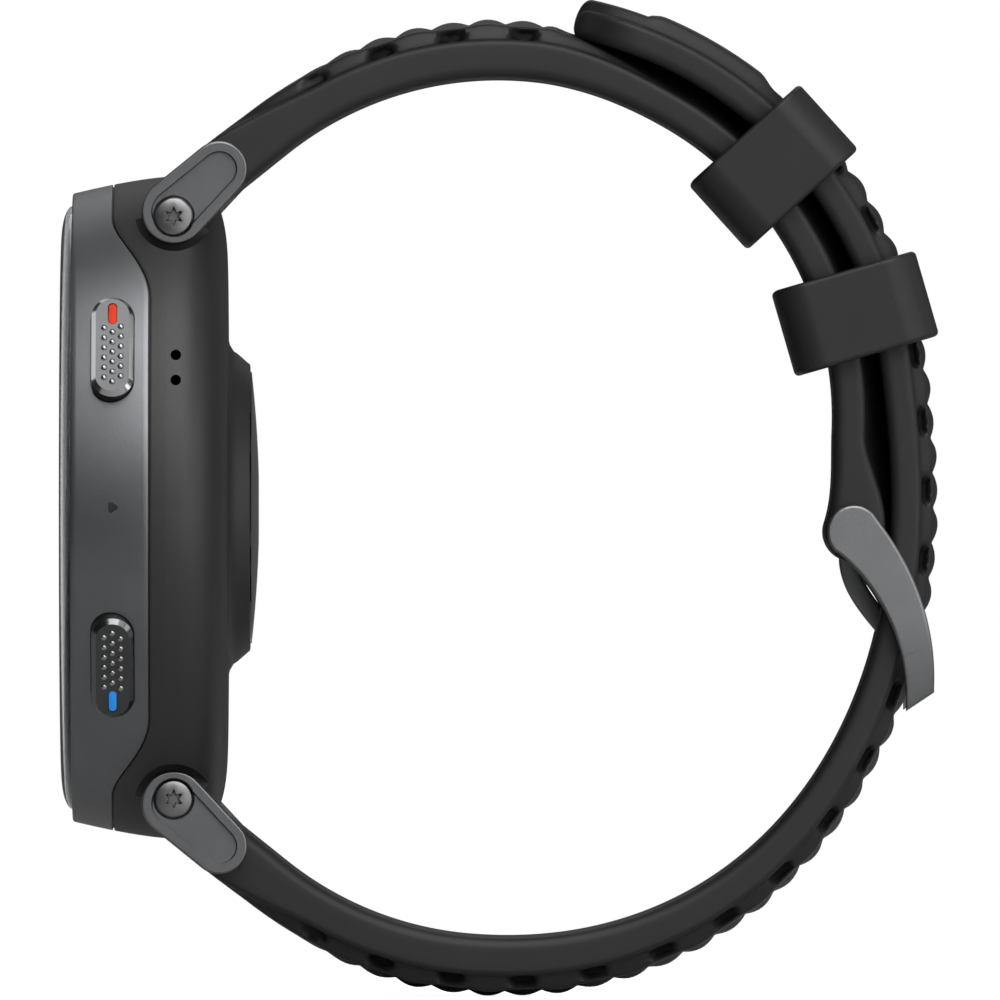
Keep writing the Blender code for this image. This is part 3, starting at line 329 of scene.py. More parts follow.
def lathe(name, profile, steps):
    """Draws a point along a profile of (radius, y) and spins it round the watch axis."""
    deselect()
    bpy.ops.mesh.primitive_plane_add(size=0.001)
    piece = named(name)
    with editing(piece):
        bpy.ops.mesh.merge(type="CENTER")
        here = Vector(profile[0])
        bpy.ops.transform.translate(value=(here.x, here.y, 0))
        for spot in profile[1:]:
            step = Vector(spot) - here
            here = Vector(spot)
            bpy.ops.mesh.extrude_region_move(TRANSFORM_OT_translate={"value": (step.x, step.y, 0)})
        bpy.ops.mesh.select_all(action="SELECT")
        bpy.ops.mesh.spin(steps=steps, angle=math.tau, center=(0, 0, 0), axis=(0, 1, 0))
    turn_outward(piece)
    return piece


def wave_ring(name, section_at, steps=CASE_STEPS):
    """A torus whose tube is drawn to a section of (radius, y) that changes round the case."""
    corners = len(section_at(0))
    deselect()
    bpy.ops.mesh.primitive_torus_add(major_segments=steps, minor_segments=corners)
    piece = named(name)
    for i in range(steps):
        turn = math.tau * i / steps
        for j, (radius, y) in enumerate(section_at(math.degrees(turn))):
            spot = (radius * math.cos(turn), y, radius * math.sin(turn))
            piece.data.vertices[i * corners + j].co = spot
    turn_outward(piece)
    return piece


def plate(name, outline, low, high, edge=0.0, segments=3):
    """A filled circle drawn to an outline of (y, z), extruded along X, with its face's edge rounded."""
    deselect()
    bpy.ops.mesh.primitive_circle_add(vertices=len(outline), radius=0.001, fill_type="NGON")
    piece = named(name)
    for vertex, spot in zip(piece.data.vertices, outline):
        vertex.co = (low, spot.x, spot.y)
    with editing(piece):
        bpy.ops.mesh.extrude_region_move(TRANSFORM_OT_translate={"value": (high - low, 0, 0)})
        if edge:
            bpy.ops.mesh.region_to_loop()
            bpy.ops.mesh.bevel(offset=edge, segments=segments, affect="EDGES")
    turn_outward(piece)
    return piece


def rod(name, centre, radius, low, high, steps=48):
    return plate(name, arc(Vector(centre), radius, 0, 360, steps)[:-1], low, high)


def block(name, low, high, edges=()):
    """A cube at its size, with its edges along one axis rounded, then the rest."""
    deselect()
    bpy.ops.mesh.primitive_cube_add(size=1)
    piece = named(name)
    for vertex in piece.data.vertices:
        vertex.co = [a + (b - a) * (c + 0.5) for a, b, c in zip(low, high, vertex.co)]
    for axis, offset, segments in edges:
        round_edges(piece, axis, offset, segments)
    return piece


def round_edges(piece, axis, offset, segments):
    """Rounds the edges that run along this axis, or, for None, every sharp edge."""
    with editing(piece):
        bpy.ops.mesh.select_all(action="DESELECT")
        bpy.ops.mesh.select_mode(type="EDGE")
        bpy.ops.object.mode_set(mode="OBJECT")
        if axis is not None:
            spots = [vertex.co for vertex in piece.data.vertices]
            for edge in piece.data.edges:
                lean = spots[edge.vertices[1]] - spots[edge.vertices[0]]
                edge.select = abs(lean[axis]) > 0.99 * lean.length
        bpy.ops.object.mode_set(mode="EDIT")
        if axis is None:
            bpy.ops.mesh.edges_select_sharp(sharpness=math.radians(50))
        bpy.ops.mesh.bevel(offset=offset, segments=segments, affect="EDGES")
        bpy.ops.mesh.select_mode(type="VERT")


def skin(name, loops):
    """A grid wrapped round equal loops of points and closed at both ends.

    A fourth value at each point, if given, is kept as how hollow the surface is there, which sets the painted
    shade it gets.
    """
    deselect()
    columns, rows = len(loops[0]), len(loops)
    bpy.ops.mesh.primitive_grid_add(x_subdivisions=columns, y_subdivisions=rows - 1)
    piece = named(name)
    spots = [spot for loop in loops for spot in (*loop, loop[0])]
    piece.data.vertices.foreach_set("co", [value for spot in spots for value in spot[:3]])
    # The hollow attribute carries the painted shade for the strap's pits
    if len(spots[0]) > 3:
        hollow = piece.data.attributes.new("hollow", "FLOAT", "POINT")
        hollow.data.foreach_set("value", [spot[3] for spot in spots])
    with editing(piece):
        bpy.ops.mesh.remove_doubles(threshold=1e-7)
        bpy.ops.mesh.fill_holes(sides=0)
        bpy.ops.mesh.normals_make_consistent(inside=False)
    return piece


def carve(piece, *cutters, operation="DIFFERENCE"):
    """Cuts shapes that lie clear of each other out of a piece, or joins one on, and clears them away."""
    cutter = join("cutter", cutters)
    pick(piece)
    change = piece.modifiers.new("carve", "BOOLEAN")
    change.operation = operation
    change.object = cutter
    bpy.ops.object.modifier_apply(modifier=change.name)
    bpy.data.objects.remove(cutter)


def join(name, pieces):
    deselect()
    for piece in pieces:
        piece.select_set(True)
    bpy.context.view_layer.objects.active = pieces[0]
    bpy.ops.object.join()
    return named(name)


def put(piece, matrix):
    """Moves a piece into place and keeps that place in its mesh."""
    piece.matrix_world = matrix
    pick(piece)
    bpy.ops.object.transform_apply(location=True, rotation=True, scale=True)


def settle(piece, body, finish, slot, *nodes, sharp=30):
    """Smooths a piece, gives it its finish and seats it on its body in place of its CAD nodes."""
    pick(piece)
    bpy.ops.object.shade_smooth_by_angle(angle=math.radians(sharp))
    even = piece.modifiers.new("even", "WEIGHTED_NORMAL")
    even.keep_sharp = True
    bpy.ops.object.modifier_apply(modifier=even.name)
    piece.data.materials.clear()
    piece.data.materials.append(finish)
    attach(piece, body)
    if nodes:
        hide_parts(*nodes)
    return piece


# Finishes
SILICONE = (0.019, 0.019, 0.0195)


def finish(name, colour, roughness, metallic=0.0, **sockets):
    material = bpy.data.materials.new(name)
    material.use_nodes = True
    shader = material.node_tree.nodes["Principled BSDF"]
    shader.inputs["Base Color"].default_value = (*colour, 1.0)
    shader.inputs["Roughness"].default_value = roughness
    shader.inputs["Metallic"].default_value = metallic
    for socket, value in sockets.items():
        shader.inputs[socket.replace("_", " ")].default_value = value
    material.diffuse_color = (*colour, 1.0)
    return material


def add_grain(material, size, height, gloss_spread):
    """Fine grain on the piece's own coordinates, in the height of the surface and in its gloss."""
    nodes, links = material.node_tree.nodes, material.node_tree.links
    shader = nodes["Principled BSDF"]
    place = nodes.new("ShaderNodeTexCoord")
    noise = nodes.new("ShaderNodeTexNoise")
    noise.inputs["Scale"].default_value = 1 / size
    noise.inputs["Detail"].default_value = 2.0
    bump = nodes.new("ShaderNodeBump")
    bump.inputs["Strength"].default_value = 0.6
    bump.inputs["Distance"].default_value = height
    gloss = nodes.new("ShaderNodeMapRange")
    rough = shader.inputs["Roughness"].default_value
    gloss.inputs["To Min"].default_value = rough - gloss_spread
    gloss.inputs["To Max"].default_value = rough + gloss_spread
    links.new(place.outputs["Object"], noise.inputs["Vector"])
    links.new(noise.outputs["Fac"], bump.inputs["Height"])
    links.new(noise.outputs["Fac"], gloss.inputs["Value"])
    links.new(gloss.outputs["Result"], shader.inputs["Roughness"])
    links.new(bump.outputs["Normal"], shader.inputs["Normal"])


def add_tone(material, size, light, dark):
    """Slow drift of the colour between two tones over the piece."""
    nodes, links = material.node_tree.nodes, material.node_tree.links
    place = nodes.new("ShaderNodeTexCoord")
    noise = nodes.new("ShaderNodeTexNoise")
    noise.inputs["Scale"].default_value = 1 / size
    noise.inputs["Detail"].default_value = 4.0
    ramp = nodes.new("ShaderNodeValToRGB")
    ramp.color_ramp.elements[0].position = 0.3
    ramp.color_ramp.elements[0].color = (*dark, 1.0)
    ramp.color_ramp.elements[1].position = 0.7
    ramp.color_ramp.elements[1].color = (*light, 1.0)
    links.new(place.outputs["Object"], noise.inputs["Vector"])
    links.new(noise.outputs["Fac"], ramp.inputs["Fac"])
    links.new(ramp.outputs["Color"], nodes["Principled BSDF"].inputs["Base Color"])


def shaded(colour, share):
    return tuple(value * share for value in colour)


def grained(name, colour, roughness, metallic, size, height, spread=0.06, drift=0.06, **sockets):
    material = finish(name, colour, roughness, metallic, **sockets)
    add_grain(material, size, height, spread)
    add_tone(material, 0.004, shaded(colour, 1 + drift), shaded(colour, 1 - drift))
    return material


def make_finishes():
    rubbery = (0.0, 0.00016, 0.000006)
    enamel = (0.55, 0.0, 0.0002, 0.000003, 0.04, 0.03)
    return {
        "blasted": grained("blasted_aluminium", (0.2, 0.204, 0.212), 0.42, 1.0, 0.00009, 0.000012),
        "button": grained("button_aluminium", (0.1, 0.102, 0.105), 0.4, 1.0, 0.00009, 0.000012),
        "polished": grained("polished_edge", (0.55, 0.55, 0.56), 0.16, 1.0, 0.0001, 0.000001, 0.03),
        "dot": grained("grip_dot_metal", (0.34, 0.342, 0.346), 0.22, 1.0, 0.0001, 0.000001, 0.03),
        # Darker copy of the polished edge for the lower button's chamfer: painted shade where that chamfer
        # faces away from the light
        "shaded_polish": grained("shaded_polish_edge", (0.17, 0.172, 0.176), 0.2, 1.0, 0.0001, 0.000001, 0.03),
        "polymer": grained("charcoal_polymer", (0.022, 0.022, 0.0225), 0.5, 0.0, 0.00012, 0.000012),
        # Black silicone with painted shade mixed into its pits
        "silicone": paint_pit_shade(
            grained("black_silicone", SILICONE, 0.5, *rubbery, Specular_IOR_Level=0.3)
        ),
        "keeper": grained("keeper_silicone", SILICONE, 0.48, *rubbery, Specular_IOR_Level=0.3),
        "gunmetal": grained("gunmetal_link", (0.18, 0.185, 0.192), 0.36, 1.0, 0.00008, 0.00001),
        "steel": grained("screw_steel", (0.22, 0.22, 0.225), 0.32, 1.0, 0.00008, 0.000006),
        "satin": grained("satin_buckle", (0.22, 0.224, 0.23), 0.4, 1.0, 0.00009, 0.00001),
        "rubber": grained("seal_rubber", (0.01, 0.01, 0.01), 0.7, 0.0, 0.0002, 0.00001),
        "orange": grained("orange_enamel", (1.0, 0.065, 0.018), *enamel, Specular_IOR_Level=0.1),
        "blue": grained("blue_enamel", (0.04, 0.33, 0.95), *enamel, Specular_IOR_Level=0.1),
        "carrier": grained("carrier_plastic", (0.08, 0.08, 0.085), 0.55, 0.0, 0.0003, 0.00001),
        "board": grained("circuit_board", (0.015, 0.09, 0.04), 0.4, 0.0, 0.0004, 0.00001),
        "foil": grained("battery_foil", (0.5, 0.5, 0.52), 0.35, 1.0, 0.0006, 0.00001),
        "copper": grained("antenna_copper", (0.7, 0.35, 0.18), 0.3, 1.0, 0.0002, 0.000006),
        "can": grained("shield_can", (0.55, 0.55, 0.56), 0.33, 1.0, 0.0003, 0.000006),
        "gold": grained("contact_gold", (0.75, 0.55, 0.28), 0.28, 1.0, 0.0002, 0.000004),
        "glass": make_cover_glass(),
        "lens": make_lens_finish(),
        "ink": grained("border_ink", (0.003, 0.003, 0.0035), 0.35, 0.0, 0.0002, 0.000002),
        "screen": grained("screen_black", (0.002, 0.002, 0.003), 0.25, 0.0, 0.0002, 0.000002),
        "white": make_lit("lit_white", (0.8, 0.85, 0.9)),
        "amber": make_lit("lit_amber", (0.95, 0.3, 0.05)),
        "green": make_lit("lit_green", (0.2, 0.75, 0.3)),
        "azure": make_lit("lit_azure", (0.1, 0.45, 0.9)),
    }


def paint_pit_shade(material):
    """Paints shade onto the surface where it is hollow: a near-black mix that stands in for the shade that
    falls in a deep pit.
    """
    nodes, links = material.node_tree.nodes, material.node_tree.links
    shader = nodes["Principled BSDF"]
    depth = nodes.new("ShaderNodeAttribute")
    depth.attribute_name = "hollow"
    # Near-black, nearly matt shader that the hollow attribute mixes in: painted shade in the pits
    dark = nodes.new("ShaderNodeBsdfPrincipled")
    dark.inputs["Base Color"].default_value = (0.002, 0.002, 0.002, 1)
    dark.inputs["Roughness"].default_value = 0.8
    dark.inputs["Specular IOR Level"].default_value = 0.05
    mix = nodes.new("ShaderNodeMixShader")
    links.new(depth.outputs["Fac"], mix.inputs[0])
    links.new(shader.outputs[0], mix.inputs[1])
    links.new(dark.outputs[0], mix.inputs[2])
    links.new(mix.outputs[0], nodes["Material Output"].inputs["Surface"])
    return material


def make_cover_glass():
    material = finish("cover_glass", (0.9, 0.92, 0.93), 0.03, Transmission_Weight=1.0, IOR=1.25)
    add_grain(material, 0.002, 0.0000002, 0.01)
    return material


def make_lit(name, colour):
    """A colour that the display gives off, broken into fine pixels."""
    material = finish(name, colour, 0.4, Emission_Strength=0.7)
    nodes, links = material.node_tree.nodes, material.node_tree.links
    place = nodes.new("ShaderNodeTexCoord")
    pixels = nodes.new("ShaderNodeTexChecker")
    pixels.inputs["Color1"].default_value = (*colour, 1.0)
    pixels.inputs["Color2"].default_value = (*shaded(colour, 0.85), 1.0)
    pixels.inputs["Scale"].default_value = 12000
    shader = nodes["Principled BSDF"]
    links.new(place.outputs["Object"], pixels.inputs["Vector"])
    links.new(pixels.outputs["Color"], shader.inputs["Base Color"])
    links.new(pixels.outputs["Color"], shader.inputs["Emission Color"])
    return material


def make_lens_finish():
    """Dark polished window, with a lighter ring of emitters and receivers under it."""
    material = finish("sensor_window", (0.006, 0.006, 0.007), 0.08, Coat_Weight=0.4, Coat_Roughness=0.04)
    nodes, links = material.node_tree.nodes, material.node_tree.links
    place = nodes.new("ShaderNodeTexCoord")
    cells = nodes.new("ShaderNodeTexVoronoi")
    cells.inputs["Scale"].default_value = 260
    cells.inputs["Randomness"].default_value = 0.0
    ramp = nodes.new("ShaderNodeValToRGB")
    ramp.color_ramp.elements[0].position = 0.3
    ramp.color_ramp.elements[0].color = (0.02, 0.022, 0.02, 1.0)
    ramp.color_ramp.elements[1].position = 0.34
    ramp.color_ramp.elements[1].color = (0.006, 0.006, 0.007, 1.0)
    links.new(place.outputs["Object"], cells.inputs["Vector"])
    links.new(cells.outputs["Distance"], ramp.inputs["Fac"])
    links.new(ramp.outputs["Color"], nodes["Principled BSDF"].inputs["Base Color"])
    return material


# Case
def case_radius_at(y):
    share = (WIDEST_Y - y) / (WIDEST_Y - RIM_Y)
    return CASE_RADIUS - RIM_INSET * max(share, 0) ** RIM_FLARE


def seam_at(degrees):
    turn = math.radians(degrees)
    steep = math.degrees(math.atan2(abs(math.sin(turn)), abs(math.cos(turn))))
    return RIM_Y + BEZEL_AT_SIDES + (BEZEL_AT_LUGS - BEZEL_AT_SIDES) * fade(steep, WAVE_FROM, WAVE_TO)


def bezel_section(degrees):
    seam = seam_at(degrees)
    step = seam - SPIGOT_LENGTH - 4 * SEAM
    soft = 0.00012
    lip = GLASS_RADIUS + SEAM
    rim = case_radius_at(RIM_Y)
    section = [(lip, RIM_Y + soft), (lip + soft / 3, RIM_Y + soft / 3), (lip + soft, RIM_Y)]
    section += [(rim - soft, RIM_Y), (rim - soft / 3, RIM_Y + soft / 4)]
    outside = [RIM_Y + soft + (seam - RIM_Y - 1.4 * soft) * i / 16 for i in range(17)]
    section += [(case_radius_at(y), y) for y in outside]
    rear = case_radius_at(seam)
    section += [(rear - soft / 8, seam - soft / 8), (rear - soft / 4, seam)]
    section += [(SOCKET_WALL, seam), (SOCKET_WALL, step), (BEZEL_INNER_RADIUS, step)]
    return section + [(BEZEL_INNER_RADIUS, GLASS_BACK_Y + FIT), (lip, GLASS_BACK_Y + FIT)]


def rear_section(degrees):
    seam = seam_at(degrees) + SEAM
    soft = 0.00008
    outer = case_radius_at(seam)
    section = [(outer - SEAM_DEPTH, seam - SEAM_CLOSING), (outer - SEAM_DEPTH, seam)]
    section += [(outer - soft, seam), (outer - soft / 4, seam + soft / 3)]
    sides = [seam + soft + (WIDEST_Y - seam - soft) * i / 10 for i in range(11)]
    section += [(case_radius_at(y), y) for y in sides]
    for i in range(1, 21):
        turn = math.radians(90 * i / 20)
        across = math.cos(turn) ** (2 / BACK_ROUNDNESS)
        back = math.sin(turn) ** (2 / BACK_ROUNDNESS)
        radius = BACK_FLAT_RADIUS + (CASE_RADIUS - BACK_FLAT_RADIUS) * across
        section.append((radius, WIDEST_Y + (BACK_Y - WIDEST_Y) * back))
    top = -LENS_DROP - SEAM
    well = LENS_RADIUS + SEAM
    foot = PEDESTAL_RADIUS - PEDESTAL_FOOT
    crest = PEDESTAL_RADIUS - PEDESTAL_SLOPE
    section += [(PEDESTAL_RADIUS + 0.0004, BACK_Y), (PEDESTAL_RADIUS, BACK_Y + 0.00003)]
    section += [(PEDESTAL_RADIUS - 0.00045, BACK_Y + 0.00014), (foot, BACK_Y + PEDESTAL_FOOT_RISE)]
    section += [(foot - 0.0002, BACK_Y + PEDESTAL_FOOT_RISE + 0.0003), (crest + 0.00003, top - 0.00016)]
    section += [(crest - 0.00005, top - 0.00004), (crest - 0.0002, top), (well + 0.0001, top)]
    section += [(well, top - 0.0001), (well, LENS_SEAT_Y - SEAM)]
    ledge = LENS_RADIUS - LENS_LEDGE
    section += [(ledge, LENS_SEAT_Y - SEAM), (ledge, FLOOR_Y), (CAVITY_RADIUS, FLOOR_Y)]
    spigot = seam_at(degrees) - SPIGOT_LENGTH
    plug = SOCKET_WALL - FIT
    return section + [(CAVITY_RADIUS, spigot), (plug, spigot), (plug, seam - SEAM_CLOSING)]


def glass_edge(inset, steps=16):
    """The curved edge of the glass, from its flat front to its side, this far under its surface."""
    points = []
    for i in range(steps + 1):
        turn = math.radians(90 * i / steps)
        radius = GLASS_FLAT_RADIUS + (GLASS_RADIUS - inset - GLASS_FLAT_RADIUS) * math.sin(turn)
        points.append((radius, RIM_Y - (RIM_Y - GLASS_FRONT_Y - inset) * math.cos(turn)))
    return points


def make_glass(finishes):
    """The glass is thin over its dark border, which fills the space under its curved edge."""
    skirt = glass_edge(GLASS_SKIRT)
    profile = [(0, GLASS_FRONT_Y), *glass_edge(0), (GLASS_RADIUS, GLASS_BACK_Y), (skirt[-1][0], GLASS_BACK_Y)]
    profile += [*skirt[::-1], (WINDOW_RADIUS, skirt[0][1]), (WINDOW_RADIUS, GLASS_BACK_Y), (0, GLASS_BACK_Y)]
    settle(lathe("front_glass", profile, 192), "watch", finishes["glass"], "cover_glass", "front_glass")
    inner = WINDOW_RADIUS + SEAM / 4
    border = glass_edge(GLASS_SKIRT + SEAM / 4)
    foot = (inner, GLASS_BACK_Y)
    ring = [foot, (inner, border[0][1]), *border, (border[-1][0], GLASS_BACK_Y), foot]
    settle(lathe("glass_border", ring, 192), "watch", finishes["ink"], "display")


def pill_cutter(name, turn, length, width, low, high):
    cutter = plate(name, pill(length, width), low, high)
    put(cutter, turn)
    return cutter


def button_place(sign):
    """The frame of a button, whose +X is the button's own radius."""
    return Matrix.Translation((0, BUTTON_Y, 0)) @ Matrix.Rotation(-sign * math.radians(BUTTON_ANGLE), 4, "Y")


def button_face():
    return case_radius_at(BUTTON_Y) + BUTTON_PROUD


def make_bezel(finishes):
    bezel = wave_ring("bezel", bezel_section)
    floor = button_face() - BUTTON_THICKNESS - BUTTON_TRAVEL - SEAM
    for sign in (1, -1):
        turn = button_place(sign)
        gap = 2 * POCKET_GAP
        reach = CASE_RADIUS + BUTTON_PROUD
        size = (BUTTON_LENGTH + gap, BUTTON_WIDTH + gap)
        shift = Matrix.Translation((0, 0, sign * CAP_SHIFT))
        carve(bezel, pill_cutter("pocket", turn @ shift, *size, floor, reach))
        bore = rod("bore", (0, 0), STEM_RADIUS + SEAM, CAVITY_RADIUS, CASE_RADIUS, 32)
        put(bore, turn)
        carve(bezel, bore)
        seat = STEM_RADIUS + SEAM + SEAL_WIDTH + SEAM
        end = BEZEL_INNER_RADIUS + 2 * SEAM + SEAL_LENGTH
        hollow = rod("seat", (0, 0), seat, CAVITY_RADIUS, end, 32)
        put(hollow, turn)
        carve(bezel, hollow)
    lobes = []
    for i in range(48):
        turn = 360 * i / 48
        lobes.append(polar(Vector((BUTTON_Y, 0)), 0.00033 + 0.00006 * math.cos(math.radians(3 * turn)), turn))
    carve(bezel, plate("mic_hole", lobes, BEZEL_INNER_RADIUS - FIT, CASE_RADIUS))
    settle(bezel, "watch", finishes["blasted"], "bezel_metal", "bezel")


def make_rear_case(finishes):
    rear = wave_ring("rear_case", rear_section)
    inner = LUG_PLANE - FIT
    gap = LUG_POCKET_GAP
    outline = tapered_pill(LUG_ROOT, LUG_ROOT_RADIUS + gap, LUG_END, LUG_END_RADIUS + gap)
    for side in (1, -1):
        for end in (1, -1):
            carve(rear, plate("link_pocket", mirrored(outline, end), side * inner, side * 2 * CASE_RADIUS))
            spot = (SCREW.x, end * SCREW.y)
            carve(rear, rod("screw_hole", spot, 0.0008, side * (SCREW_TIP - FIT), side * 2 * inner))
    for end in (1, -1):
        spot = (LUG_END.x, end * LUG_END.y)
        carve(rear, rod("strap_channel", spot, LUG_END_RADIUS + FIT, -LUG_PLANE, LUG_PLANE, 64))
    for height in (0.00892, 0.01068):
        carve(rear, rod("vent", (BACK_Y - 0.00352, height), 0.00037, CAVITY_RADIUS - 0.0038, CASE_RADIUS, 32))
    for number in (1, 2):
        low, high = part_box(f"charge_contact_{number}")
        middle = (low + high) / 2
        wide = (high.x - low.x) / 2
        reach = wide + SEAM
        hole = lathe("contact_hole", [(0, FLOOR_Y - FIT), (reach, FLOOR_Y - FIT), (reach, 0), (0, 0)], 48)
        put(hole, Matrix.Translation((middle.x, 0, middle.z)))
        carve(rear, hole)
        face = BACK_Y - CONTACT_SINK
        pad = [(0, low.y), (wide, low.y), (wide, face - 0.0001), (wide - 0.0001, face), (0, face)]
        contact = lathe(f"charge_contact_{number}", pad, 48)
        put(contact, Matrix.Translation((middle.x, 0, middle.z)))
        settle(contact, "watch", finishes["gold"], "screw_steel", f"charge_contact_{number}")
    settle(rear, "watch", finishes["polymer"], "rear_polymer", "rear_case")


def make_sensor_lens(finishes):
    profile = [(0, 0), (LENS_FLAT_RADIUS, 0)]
    for i in range(1, 17):
        radius = LENS_FLAT_RADIUS + (LENS_RADIUS - 0.0001 - LENS_FLAT_RADIUS) * i / 16
        share = (radius**2 - LENS_FLAT_RADIUS**2) / (LENS_RADIUS**2 - LENS_FLAT_RADIUS**2)
        profile.append((radius, -LENS_DROP * share))
    profile += [(LENS_RADIUS, -LENS_DROP - 0.0001), (LENS_RADIUS, LENS_SEAT_Y), (0, LENS_SEAT_Y)]
    settle(lathe("sensor_lens", profile, 160), "watch", finishes["lens"], "sensor_window", "sensor_lens")


# Display
def make_display(finishes):
    panel = [(0, DISPLAY_Y), (DISPLAY_RADIUS, DISPLAY_Y)]
    panel += [(DISPLAY_RADIUS, DISPLAY_BACK_Y), (0, DISPLAY_BACK_Y)]
    settle(lathe("display_panel", panel, 128), "watch", finishes["screen"], "display", "display_panel")
    front = DISPLAY_Y - MARK_FRONT
    mark_back = DISPLAY_Y - MARK_BACK
    ticks = []
    for minute in range(60):
        hour = minute % 5 == 0
        length, width = (0.0017, 0.0005) if hour else (0.0008, 0.0002)
        tick = block("tick", (-width / 2, front, DIAL_REACH - length), (width / 2, mark_back, DIAL_REACH))
        put(tick, Matrix.Rotation(math.radians(6 * minute), 4, "Y"))
        ticks.append(tick)
    settle(join("minute_marks", ticks), "watch", finishes["white"], "display")
    hands = []
    for degrees, length, width in ((304, 0.0085, 0.0011), (48, 0.0128, 0.0008)):
        far = (width / 2, mark_back, length)
        hand = block("hand", (-width / 2, front, 0.0014), far, [(1, 0.0003, 4)])
        put(hand, Matrix.Rotation(math.radians(degrees), 4, "Y"))
        hands.append(hand)
    settle(join("hands", hands), "watch", finishes["white"], "display")
    for name, colour, radius, sweep in (
        ("steps_arc", "green", 0.0062, 280),
        ("effort_arc", "amber", 0.0051, 210),
        ("sleep_arc", "azure", 0.004, 130),
    ):
        low, high = radius - 0.0004, radius + 0.0004
        loops = []
        for i in range(65):
            turn = math.radians(90 - sweep * i / 64)
            corners = ((low, front), (high, front), (high, mark_back), (low, mark_back))
            loops.append([(r * math.cos(turn), y, r * math.sin(turn)) for r, y in corners])
        settle(skin(name, loops), "watch", finishes[colour], "display")


# Buttons
def make_button(side, sign, finishes):
    turn = button_place(sign)
    face = button_face()
    foot = face - BUTTON_THICKNESS
    body = f"{side}_button"
    outline = pill(BUTTON_LENGTH, BUTTON_WIDTH, (0, sign * CAP_SHIFT))
    cap = plate(f"button_{side}", outline, foot, face - CAP_CHAMFER)
    with editing(cap):
        bpy.ops.mesh.select_all(action="DESELECT")
        bpy.ops.mesh.select_mode(type="FACE")
        bpy.ops.object.mode_set(mode="OBJECT")
        for polygon in cap.data.polygons:
            polygon.select = polygon.normal.x > 0.9
        bpy.ops.object.mode_set(mode="EDIT")
        bpy.ops.mesh.inset(thickness=CAP_CHAMFER, depth=CAP_CHAMFER)
        bpy.ops.mesh.inset(thickness=0.00008, depth=0.0)
        bpy.ops.mesh.select_mode(type="VERT")
    spot = (0, sign * MARK_OFFSET)
    recess = pill(MARK_LENGTH + SEAM, MARK_WIDTH + SEAM, spot)
    carve(cap, plate("mark_recess", recess, face - MARK_DEPTH - SEAM, face + FIT))
    carve(cap, rod("stem", (0, 0), STEM_RADIUS, stem_end(), foot + 0.0004, 32), operation="UNION")
    put(cap, turn)
    settle(cap, body, finishes["button"], "button_metal", f"button_{side}")
    # The upper chamfer takes the polished edge; the lower one takes its darker copy as painted shade
    cap.data.materials.append(finishes["polished" if sign > 0 else "shaded_polish"])
    out = turn.to_3x3() @ Vector((1, 0, 0))
    for polygon in cap.data.polygons:
        if 0.5 < polygon.normal.dot(out) < 0.9:
            polygon.material_index = 1
    mark = plate(f"button_{side}_mark", pill(MARK_LENGTH, MARK_WIDTH, spot), face - MARK_DEPTH, face, 0.00005)
    put(mark, turn)
    colour, slot = ("orange", "orange_inlay") if sign > 0 else ("blue", "blue_inlay")
    settle(mark, body, finishes[colour], slot, f"button_{side}_mark")
    dots = []
    for column, rows in ((-1, 0.00158), (0, 0.00125), (1, 0.00168)):
        for row in range(6):
            deselect()
            bpy.ops.mesh.primitive_uv_sphere_add(segments=16, ring_count=10, radius=DOT_RADIUS)
            dot = named("dot")
            height = sign * (rows - DOT_ROW * row)
            lift = Matrix.Translation((face - 0.00002, column * DOT_COLUMN, height))
            put(dot, turn @ lift @ Matrix.Diagonal((0.75, 1, 1, 1)))
            dots.append(dot)
    settle(join(f"button_{side}_grip", dots), body, finishes["dot"], "button_metal", sharp=60)


def stem_end():
    """The inner end of a stem, from the frame's own clearance to the board."""
    return CAVITY_RADIUS - FIT - SEAM


# Links
def make_link(side, end, finishes):
    tag = f"{'upper' if end > 0 else 'lower'}_{'right' if side > 0 else 'left'}"
    outline = mirrored(tapered_pill(LUG_ROOT, LUG_ROOT_RADIUS, LUG_END, LUG_END_RADIUS), end)
    floor = side * (LUG_FACE - LUG_RECESS)
    link = plate(f"lug_{tag}", outline, side * LUG_PLANE, side * LUG_FACE, 0.00016, 3)
    layers = []
    for x, slope in ((floor, 0), (side * LUG_FACE, LUG_SLOPE), (side * (LUG_FACE + FIT), LUG_SLOPE)):
        rim = LUG_RIM - slope
        hollow = tapered_pill(LUG_ROOT, LUG_ROOT_RADIUS - rim, LUG_END, LUG_END_RADIUS - rim)
        layers.append([(x, *spot) for spot in mirrored(hollow, end)])
    carve(link, skin("recess", layers))
    spot = (SCREW.x, end * SCREW.y)
    seat = SCREW_TOP - 0.0012 - SEAM
    carve(link, rod("head_seat", spot, SCREW_RADIUS + SEAM, side * seat, side * (LUG_FACE + FIT), 64))
    carve(link, rod("shank_hole", spot, 0.0008, side * (LUG_PLANE - FIT), side * LUG_FACE, 32))
    pin = (LUG_END.x, end * LUG_END.y)
    reach = side * (LUG_PLANE + PIN_DEPTH + SEAM)
    carve(link, rod("pin_hole", pin, PIN_RADIUS + SEAM, side * (LUG_PLANE - FIT), reach, 32))
    settle(link, "watch", finishes["gunmetal"], "link_metal", f"lug_{tag}")
    make_screw(f"lug_screw_{tag}", side, spot, finishes)


